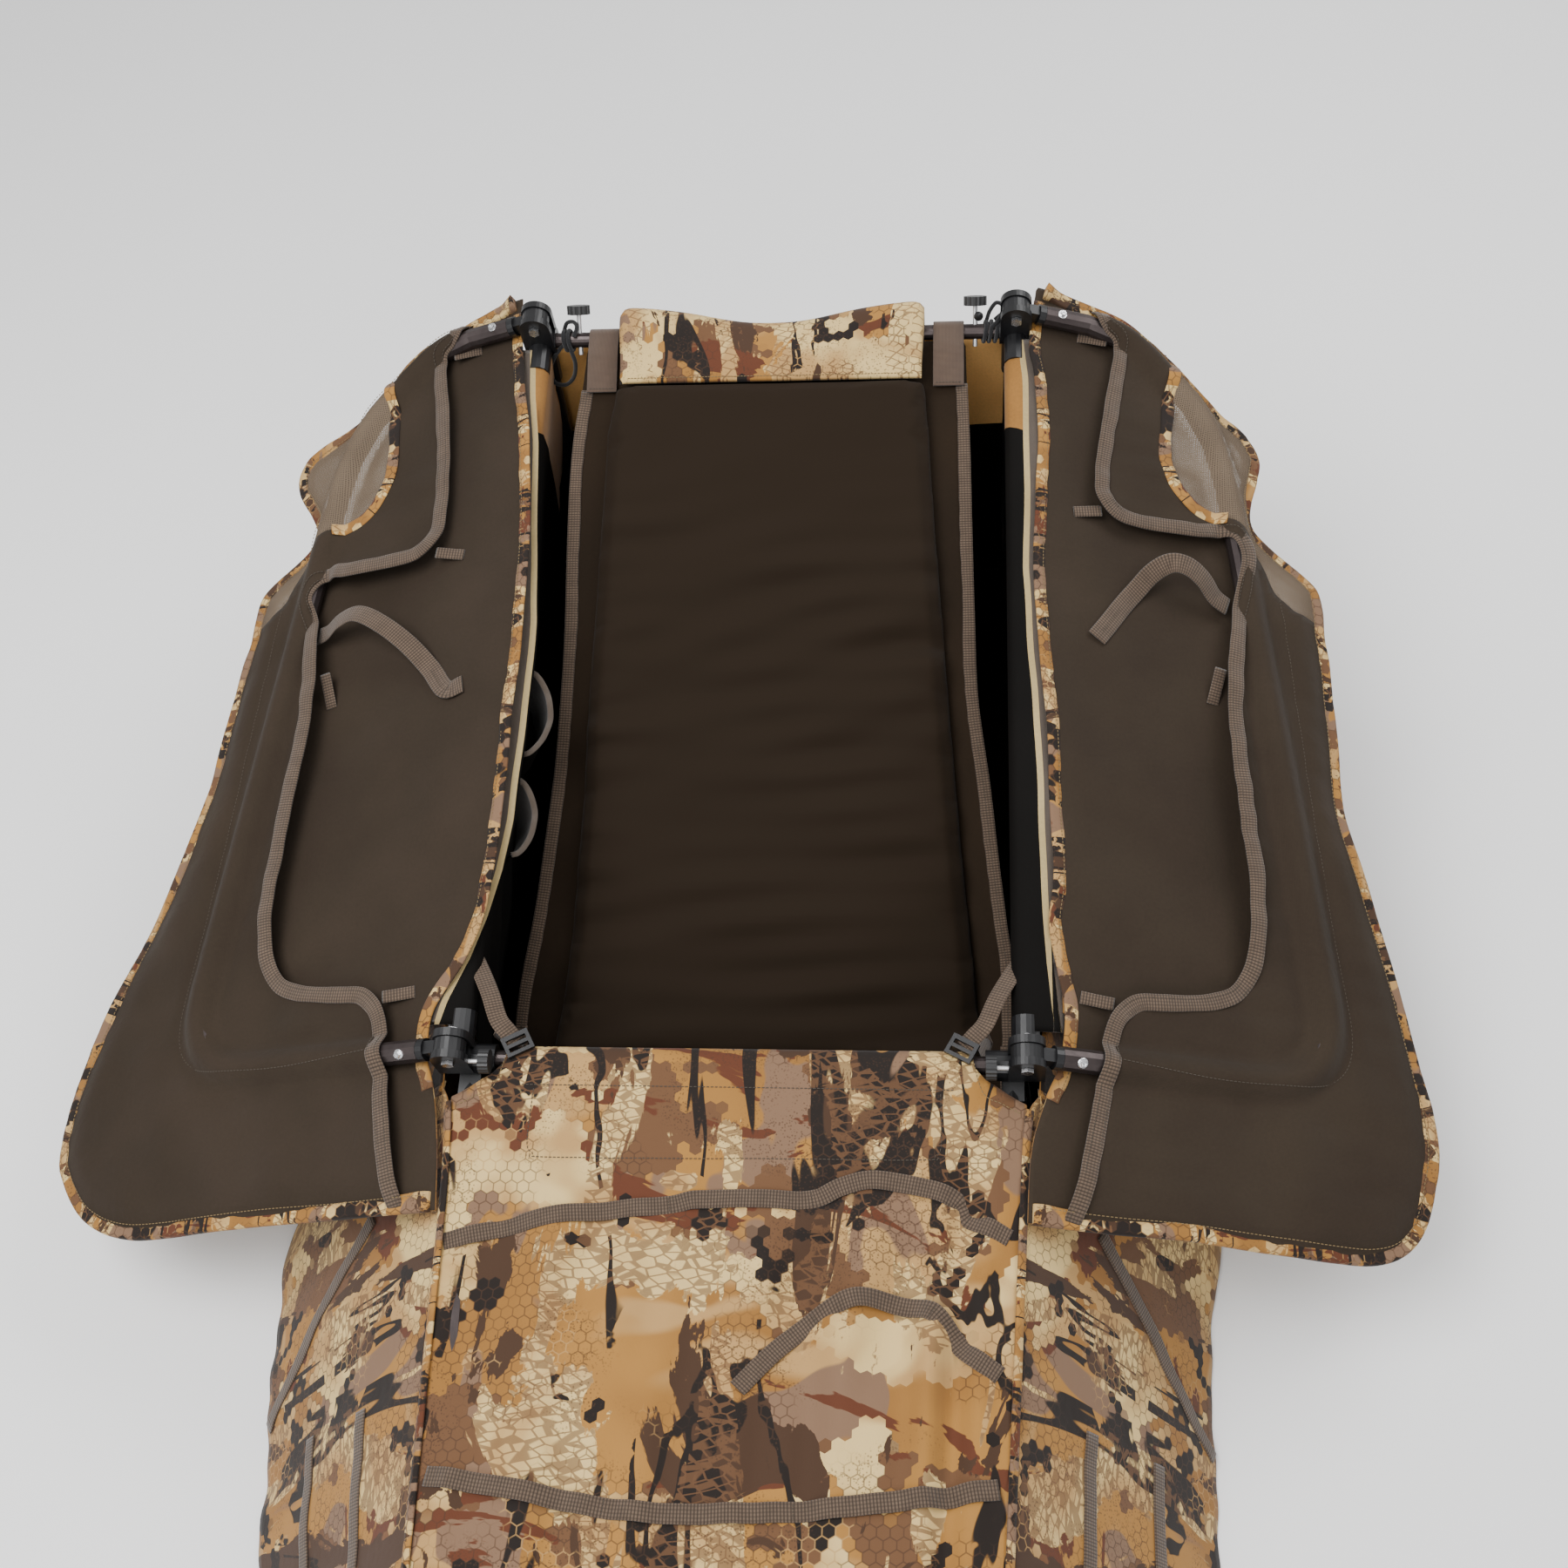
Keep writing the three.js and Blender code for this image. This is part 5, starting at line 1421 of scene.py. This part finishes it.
STRAP_ROUTE = spline([(-289, -189), (-221, -171), (-140, -157), (-63, -148), (-32, -141), (29, -141),
                      (82, -140), (114, -126), (150, -119), (202, -127), (230, -138), (242, -154),
                      (281, -173)], 160)


def run_at(y):
    """The run along the cover's upper face at a y."""
    return float(COVER_RUN[np.argmin(np.abs(COVER_LINE[:, 0] - y) + 100 * (COVER_LINE[:, 1] < 300))])


HEM_SEAM = run_at(-24)


def on_cover(x, run, height):
    """A point on the foot cover: x across, a run down it from under the hem, and a height off it, in mm."""
    x, run, height = np.broadcast_arrays(np.asarray(x, float), run, height)
    y = np.interp(run, COVER_RUN, COVER_LINE[:, 0]) + height * np.interp(run, COVER_RUN, COVER_NORMAL[:, 0])
    z = np.interp(run, COVER_RUN, COVER_LINE[:, 1]) + height * np.interp(run, COVER_RUN, COVER_NORMAL[:, 1])
    half, _ = cover_edge(y)
    droop = smoothstep(np.abs(x) / half, 0.88, 1.0) * np.interp(y, [-893, -170, -36], [5, 4, 5])
    return world(x, y, z - droop)


def foot_cover():
    """The cover over the legs, rolled round the hip tube, with its stitching and brush straps."""
    ends, start = COVER_RUN[-1], run_at(-34)
    right = [(0, 0), (180, 0), (233, 0), (240, 12), (246, start - 34), (258, start - 20), (280, start - 6),
             (300, start + 4)]
    y = np.linspace(-60, -893, 24)
    edge = [(float(cover_edge(k)[0]), float(np.interp(-k, -COVER_LINE[:, 0], COVER_RUN))) for k in y]
    right = [*right, *edge, (253, ends), (0, ends)]
    outline = np.array(right + [(-a, b) for a, b in reversed(right)], float)
    cut = Cutting([outline], step=6.0)
    made = cut.cloth("foot_cover_cloth", on_cover, cover_height(cut.points[..., 0], cut.points[..., 1]), 1.6,
                     [CAMO_BODY, REVERSE], -1)
    declare(made, "frame", cut, "foot_cover")
    hem = np.array([(x, HEM_SEAM + 2.2) for x in np.linspace(-226, 226, 120)])

    def sewn(name, line, material):
        path = on_cover(line[:, 0], line[:, 1], cover_height(line[:, 0], line[:, 1]) + 0.2)
        fit(stitches(name, path, (0.0, -0.15, 0.98), material, 4.4, 3.2, 0.8), "frame")

    sewn("cover_stitches_hem", hem, DARK_THREAD)
    box = spline([(-212, HEM_SEAM + 6), (-213, HEM_SEAM + 62), (-206, HEM_SEAM + 76), (-190, HEM_SEAM + 80),
                  (0, HEM_SEAM + 78), (190, HEM_SEAM + 76), (207, HEM_SEAM + 72), (213, HEM_SEAM + 58),
                  (212, HEM_SEAM + 6)], 260)
    sewn("cover_stitches_box", box, DARK_THREAD)
    upper = COVER_LINE[:, 1] > 300
    corner = float(np.interp(36, -COVER_LINE[:, 0][upper], COVER_RUN[upper]))
    for side in SIDES:
        slant = np.array([(237, 30), (243, 48), (255, corner - 8), (276, corner + 4), (294, corner + 12)])
        sewn(f"cover_stitches_corner_{side}", spline(slant * [SIGN[side], 1], 40), THREAD)
    strap_route("stubble_strap_front", STRAP_ROUTE, (-225, -63, 82, 242))
    strap_route("stubble_strap_second", spline([(20, -330), (55, -290), (90, -260), (118, -245), (145, -239),
                                                (175, -243), (207, -254), (240, -290),
                                                (270, -310)], 90), (90, 207))
    strap_route("stubble_strap_third", spline([(-270, -420), (-180, -432), (-60, -446), (80, -440),
                                               (190, -428), (268, -415)], 120), (-100, 80))
    strap_route("stubble_strap_fourth", spline([(-262, -640), (-150, -655), (0, -664), (150, -655),
                                                (258, -640)],
                                               120), (-130, 20, 140))


def strap_route(name, route, tacks):
    """A brush strap sewn on the cover at its tack points, and slack between them."""
    upper = COVER_LINE[:, 1] > 240
    run = np.interp(-route[:, 1], -COVER_LINE[:, 0][upper], COVER_RUN[upper])
    line = np.stack([route[:, 0], run], -1)
    loose = np.min([np.abs(route[:, 0] - t) for t in (*tacks, route[0, 0], route[-1, 0])], axis=0)
    base = cover_height(line[:, 0], line[:, 1]) + 2.4 * smoothstep(loose, 6, 30)
    section = [(-9.5, 0.2), (-9.2, 1.3), (-7, 1.8), (7, 1.8), (9.2, 1.3), (9.5, 0.2), (7, 0), (-7, 0)]
    fit(band(name, on_cover, line, base, section, WEB), "frame")
    for k, t in enumerate(tacks):
        i = int(np.argmin(np.abs(route[:, 0] - t)))
        across = line[i] + left_of(line)[i] * np.linspace(-7, 7, 8)[:, None]
        path = on_cover(across[:, 0], across[:, 1], base[i] + 2.0)
        fit(stitches(f"{name}_tack_{k}", path, (0.0, -0.1, 1.0), DARK_THREAD, 2.4, 2.0), "frame")


def skirt(name, node, side, top_points, bottom_points, seed, uv_start):
    """A side wall of the body, from the frame down to the ground, with folds that grow towards the ground."""
    s = SIGN[side]
    count = 110
    top = spline([(s * x, y, z) for x, y, z in top_points], count)
    bottom = spline([(s * x, y, z) for x, y, z in bottom_points], count)
    top, bottom = world(*top.T), world(*bottom.T)

    def folds(t, along):
        drop = t * (1 - 0.25 * t)
        gathers = 5.0 * ripple(along, t * 60, seed, 260, 90) + 2.5 * ripple(along, t * 160, seed + 1, 110, 45)
        return drop * gathers + 9.0 * np.sin(t * math.pi) * ripple(along * 0.4, t * 50, seed + 2, 500, 260)

    flip = s * (top[-1, 1] - top[0, 1]) > 0
    made, size, area, points = ruled(name, top, bottom, 40, folds, [CAMO_BODY, REVERSE], 1.6, uv_start,
                                     flip=flip)
    fit(made, "frame", node)
    return points


def webbing_on(name, points, route):
    """A strap that lies on a grid of cloth points along a route of (column, row) fractions."""
    rows, columns = points.shape[:2]
    a, b = route[:, 0] * (rows - 1), route[:, 1] * (columns - 1)
    i, j = np.clip(a.astype(int), 0, rows - 2), np.clip(b.astype(int), 0, columns - 2)
    p, q = (a - i)[:, None], (b - j)[:, None]
    path = (points[i, j] * (1 - p) * (1 - q) + points[i + 1, j] * p * (1 - q)
            + points[i, j + 1] * (1 - p) * q + points[i + 1, j + 1] * p * q)
    normal = grid_normals(points)
    outward = normal[i, j] * np.sign(normal[i, j][:, :1] * path[:, :1] + 1e-9)
    fit(sweep(name, path, outward, strap_section(19.0, 1.6, 0.4), WEB), "frame")


MID_CORNER = ((314, -22, 293), (532, 4, 4))
HEAD_CORNER = ((312, 961, 470), (527, 1000, 4))
FOOT_CORNER = ((252, -895, 240), (468, -929, 4))


def outer_body():
    """The outer walls with the straps on them, and the bindings of their corners."""
    for side in SIDES:
        seed = 90 if side == "left" else 130
        head_top = []
        for v in np.linspace(-8, 940, 8):
            p = lean(323.0, v, -45.0)
            head_top.append((323.0, (p[1] - HINGE_ORIGIN[1]) / MM, p[2] / MM))
        head_top = [MID_CORNER[0], *head_top[1:-1], HEAD_CORNER[0]]
        head_low = [MID_CORNER[1], *[(530, y, 4) for y in np.linspace(160, 860, 6)], HEAD_CORNER[1]]
        points = skirt(f"head_skirt_cloth_{side}", f"head_skirt_{side}", side, head_top, head_low, seed, 0.0)
        for k, t in enumerate((0.18, 0.45, 0.74)):
            line = np.stack([np.linspace(0.03, 0.97, 60), np.full(60, t)], -1)
            line[:, 1] += 0.02 * np.abs(np.sin(line[:, 0] * 14))
            webbing_on(f"skirt_strap_{side}_{k}", points, line)
        foot_top = [MID_CORNER[0], (303, -44, 302), (299, -80, 296.5), (294, -170, 281), (275, -520, 261),
                    FOOT_CORNER[0]]
        out = 24 if side == "left" else -12
        foot_low = [MID_CORNER[1], (530 + out / 2, -50, 4), (526 + out, -110, 4), (516 + out, -200, 4),
                    (493, -540, 4), FOOT_CORNER[1]]
        points = skirt(f"foot_skirt_cloth_{side}", f"foot_skirt_{side}", side, foot_top, foot_low, seed + 5,
                       1.1)
        line = np.stack([np.linspace(0.13, 0.32, 40), np.linspace(0.35, 0.98, 40)], -1)
        webbing_on(f"foot_skirt_strap_{side}", points, line)
        for k, t in enumerate((0.33, 0.66)):
            line = np.stack([np.linspace(0.36, 0.98, 50), np.full(50, t)], -1)
            webbing_on(f"foot_skirt_strap_{side}_{k}", points, line)
        for corner, (high, low), away in (("head", HEAD_CORNER, (0.75, 0.65, 0.3)),
                                          ("mid", MID_CORNER, (0.9, 0.0, 0.42)),
                                          ("foot", FOOT_CORNER, (0.75, -0.65, 0.3))):
            line = np.array(high) + np.linspace(0, 0.97, 60)[:, None] * (np.array(low) - high)
            line = line * [SIGN[side], 1, 1]
            section = [(-9, -3.0), (-8, -0.4), (-4, 1.2), (0, 1.7), (4, 1.2), (8, -0.4), (9, -3.0), (0, -2.2)]
            fit(sweep(f"corner_binding_{corner}_{side}", world(*line.T), np.array(away) * [SIGN[side], 1, 1],
                      section, CAMO_TRIM), "frame")
        seam = spline([(SIGN[side] * x, y, z + 1.0) for x, y, z in foot_top[1:]], 120)
        section = [(-5, -0.5), (-4, 1.4), (0, 2.1), (4, 1.4), (5, -0.5), (0, -1.5)]
        fit(sweep(f"cover_seam_{side}", world(*seam.T), (SIGN[side] * 0.55, 0, 0.83), section, CAMO_TRIM),
            "frame")

    def flat_folds(t, along):
        return 5.0 * t * ripple(along, t * 80, 140, 280, 100)

    # the head end's reverse is a brighter tan down to a line 150 mm below its top, painted light for the
    # light that shines through the cloth, and black below that
    for name, (top, low), line in (("foot_end", FOOT_CORNER, None), ("head_end", HEAD_CORNER, 150.0)):
        columns = 60
        across = np.linspace(-1, 1, columns)
        upper = world(across * top[0], top[1], top[2])
        lower = world(across * low[0], low[1], low[2])
        under = None
        if line:
            drop = np.linspace(0, top[2] - low[2], 40)[:-1]
            under = np.broadcast_to((drop > line).astype(int) + 1, (columns - 1, 39))
        flip = name == "foot_end"
        materials = [CAMO_BODY, PAINTED_BACKLIGHT_REVERSE if line else REVERSE, INNER]
        made, size, area, _ = ruled(f"{name}_cloth", upper, lower, 40, flat_folds, materials, 1.6, 0.4,
                                    under, flip)
        fit(made, "frame", f"{name}_panel")


# two heights off the hinge plane, in mm; hinge_gusset works out a point at each and does not use it
GUSSET_BELOW, GUSSET_ABOVE = -72.0, -36.0


def hinge_gusset(side):
    """The strip that joins the body to the door's underside beside the rail."""
    count = 110
    v = np.linspace(56, 896, count)
    reach = np.stack([np.full(count, 48.0), v], -1)
    under, _ = near_heights(side, reach)
    high = on_door(side, reach[:, 0], v, under - 2.6)
    top = lean(323.0 * SIGN[side], v, -45.0)
    foot = top.copy()
    foot[:, 0], foot[:, 2] = 530 * SIGN[side] * MM, 4 * MM
    low = top + 0.13 * (foot - top)

    def slack(t, along):
        return 4.0 * np.sin(t * math.pi) * (1 + 0.6 * ripple(along, t * 60, 160, 220, 70))

    made, size, area, _ = ruled(f"hinge_gusset_{side}", high, low, 22, slack, [CAMO_BODY, REVERSE], 1.2, 0.1,
                                flip=side == "right", gather=2.6)
    tuple(lean(0, 400, GUSSET_BELOW))
    tuple(lean(0, 400, GUSSET_ABOVE))
    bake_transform(made)


def hip_strap(side):
    """The side strap by the hips, which has a ladder buckle, and its tail. The buckle is not made here."""
    s = SIGN[side]
    route = spline([(236 * s, 20, 316), (246 * s, 30, 321), (258 * s, 44, 324), (270 * s, 72, 327),
                    (283 * s, 98, 325), (296 * s, 122, 322), (305 * s, 140, 318)], 50)
    made = sweep(f"hip_strap_webbing_{side}", world(*route.T), (-0.35 * s, -0.25, 0.9),
                 strap_section(20.0, 1.6), WEB)
    fit(made, "frame", f"hip_strap_{side}")
    tail = spline([(254 * s, 40, 320), (262 * s, 44, 305), (262 * s, 56, 270), (255 * s, 64, 225)], 30)
    made = sweep(f"hip_strap_tail_{side}", world(*tail.T), (-s * 0.9, -0.4, 0.1),
                 strap_section(20.0, 1.5), WEB)
    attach(made, "frame")


def bungee(side):
    """Elastic cord lashed round the cross tube by the head connector, with a slack loop below it."""
    s = SIGN[side]
    parts = []
    for k, x in enumerate({"left": (262.0, 268.0), "right": (262.0, 268.5, 276.0)}[side]):
        turn = np.linspace(0, 2 * math.pi, 33)[:-1]
        normal = np.stack([0 * turn, np.cos(turn), np.sin(turn)], -1)
        path = world((x + 2.0 * np.sin(turn)) * s, HEAD_TUBE_Y + LASHED_R * normal[:, 1],
                     HEAD_TUBE_Z + LASHED_R * normal[:, 2])
        parts.append(sweep(f"bungee_wrap_{side}_{k}", path, normal, round_section(2.6), BUNGEE, closed=True))
    if side == "left":
        loop = [(262, 926, 492), (258, 920, 476), (262, 915, 458), (274, 913, 447), (288, 914, 450),
                (292, 918, 466), (285, 924, 482), (275, 928, 494), (268, 930, 500)]
        loops = [loop, [(270, 944, 509), (266, 950, 516), (257, 948, 519), (252, 940, 517), (256, 930, 510)]]
    else:
        loops = [[(264, 944, 510), (268, 950, 520), (276, 953, 530), (284, 948, 528), (280, 938, 518),
                  (270, 930, 510)],
                 [(274, 944, 511), (284, 947, 518), (294, 944, 522), (297, 936, 516), (286, 930, 508)]]
    for k, loop in enumerate(loops):
        line = spline([(x * s, y, z) for x, y, z in loop], 60)
        parts.append(sweep(f"bungee_loop_{side}_{k}", world(*line.T), (0.2, -1, 0.3), round_section(2.6),
                           BUNGEE))
    if side == "right":
        radii = [5.6 * math.sin(a) + 0.3 for a in np.linspace(0, math.pi, 13)]
        ball = spline([(254 * s, 939, 519), (254 * s, 934, 525), (254 * s, 929, 531)], 13)
        section = np.stack([round_section(r, 14) for r in radii])
        parts.append(sweep("bungee_ball", world(*ball.T), (1.0, 0, 0), section, PLASTIC))
    for piece in parts:
        fit(piece, "frame")


def screw(name, side, u, v, turn):
    """A bright hex screw with its washer, set in a door tube, turned round the tube by that many degrees."""
    out, normal = door_axes(side)
    a = math.radians(turn)
    axis = normal * math.sin(a) - ALONG * math.cos(a)
    base = on_door(side, float(u), float(v), 0.0)
    across = np.cross(axis, out)
    rings = [(5.6, 11.4, 1), (5.6, 13.2, 1), (5.0, 13.7, 1), (4.3, 13.7, 0), (4.3, 16.0, 0), (3.6, 16.9, 0),
             (2.2, 17.1, 0), (1.9, 16.0, 0), (0.2, 15.8, 0)]
    sides = 24
    verts = []
    for radius, height, round_ring in rings:
        for k in range(sides):
            t = 2 * math.pi * k / sides
            flat = 1.0 if round_ring else math.cos(math.pi / 6) / math.cos((t % (math.pi / 3)) - math.pi / 6)
            r = radius * flat * MM
            verts.append(base + axis * height * MM + out * r * math.cos(t) + across * r * math.sin(t))
    faces = tube_faces(len(rings), sides)
    made = tidy_normals(mesh_object(name, verts, faces, np.zeros((len(verts), 2)), [STEEL], smooth=False))
    fit(made, f"door_{side}")


for body_side in SIDES:
    screw(f"door_screw_head_{body_side}", body_side, 56, 950, 78)
    screw(f"door_screw_foot_{body_side}", body_side, 56, 0, 62)
hammock()
back_pad()
headrest()
floor_cloth()
side_pocket("side_pocket_upper", 362, 470, 95, 26)
side_pocket("side_pocket_lower", 238, 330, 60, 20)
foot_cover()
outer_body()
for body_side in SIDES:
    side_liner(body_side)
    hinge_gusset(body_side)
    sling_loop(body_side)
    hip_strap(body_side)
    bungee(body_side)


# ---------------------------------------------------------------- the CAD's own pieces
def finish_with(material, names):
    """Paints CAD nodes with a material. A name without its side stands for both sides."""
    for name in names:
        for each in ([name] if name in frame["nodes"] else [f"{name}_{side}" for side in SIDES]):
            slots = frame["nodes"][each].data.materials
            slots.clear()
            slots.append(material)


def two_part(name, start, axis, split):
    """Black moulded head beyond split mm along an axis from start, and bright steel stem before it."""
    material, tree, shader = new_material(name, 0.45)
    at = object_of(tree)
    offset = node(tree, "ShaderNodeVectorMath", {0: at, 1: tuple(start)}, operation="SUBTRACT")
    far = node(tree, "ShaderNodeVectorMath", {0: offset.outputs[0], 1: tuple(axis)}, operation="DOT_PRODUCT")
    stem = math_node(tree, "LESS_THAN", far.outputs["Value"], split * MM)
    grain = noise_at(tree, at, 700.0, 2.0)
    black = mix_colour(tree, grain, (0.008, 0.008, 0.0085), (0.02, 0.02, 0.021))
    tree.links.new(mix_colour(tree, stem, black, (0.72, 0.72, 0.73)), shader.inputs["Base Color"])
    tree.links.new(stem, shader.inputs["Metallic"])
    bumped(tree, shader, grain, 0.0001, 0.3)
    return material


finish_with(TUBE, ("head_cross_tube", "mid_cross_tube", "foot_cross_tube", "side_rail", "foot_rail",
                   "door_tube", "head_leg", "foot_leg"))
finish_with(PLASTIC, ("head_connector", "mid_connector", "foot_connector", "door_socket_foot",
                      "door_socket_head", "head_leg_sleeve", "foot_leg_sleeve", "strap_buckle"))
for knob_side in SIDES:
    s = SIGN[knob_side]
    tip = math.radians(56)
    foot = HEAD_TUBE + EX * (s * 250 * MM - HEAD_TUBE[0])
    finish_with(two_part(f"head_knob_finish_{knob_side}", foot, (0, math.cos(tip), math.sin(tip)), 31.8),
                (f"head_knob_{knob_side}",))
    finish_with(two_part(f"mid_knob_finish_{knob_side}", np.zeros(3), (-s, 0, 0), -269.5),
                (f"mid_knob_{knob_side}",))
finish_with(STEEL, ("head_hinge_bolt", "mid_hinge_bolt"))
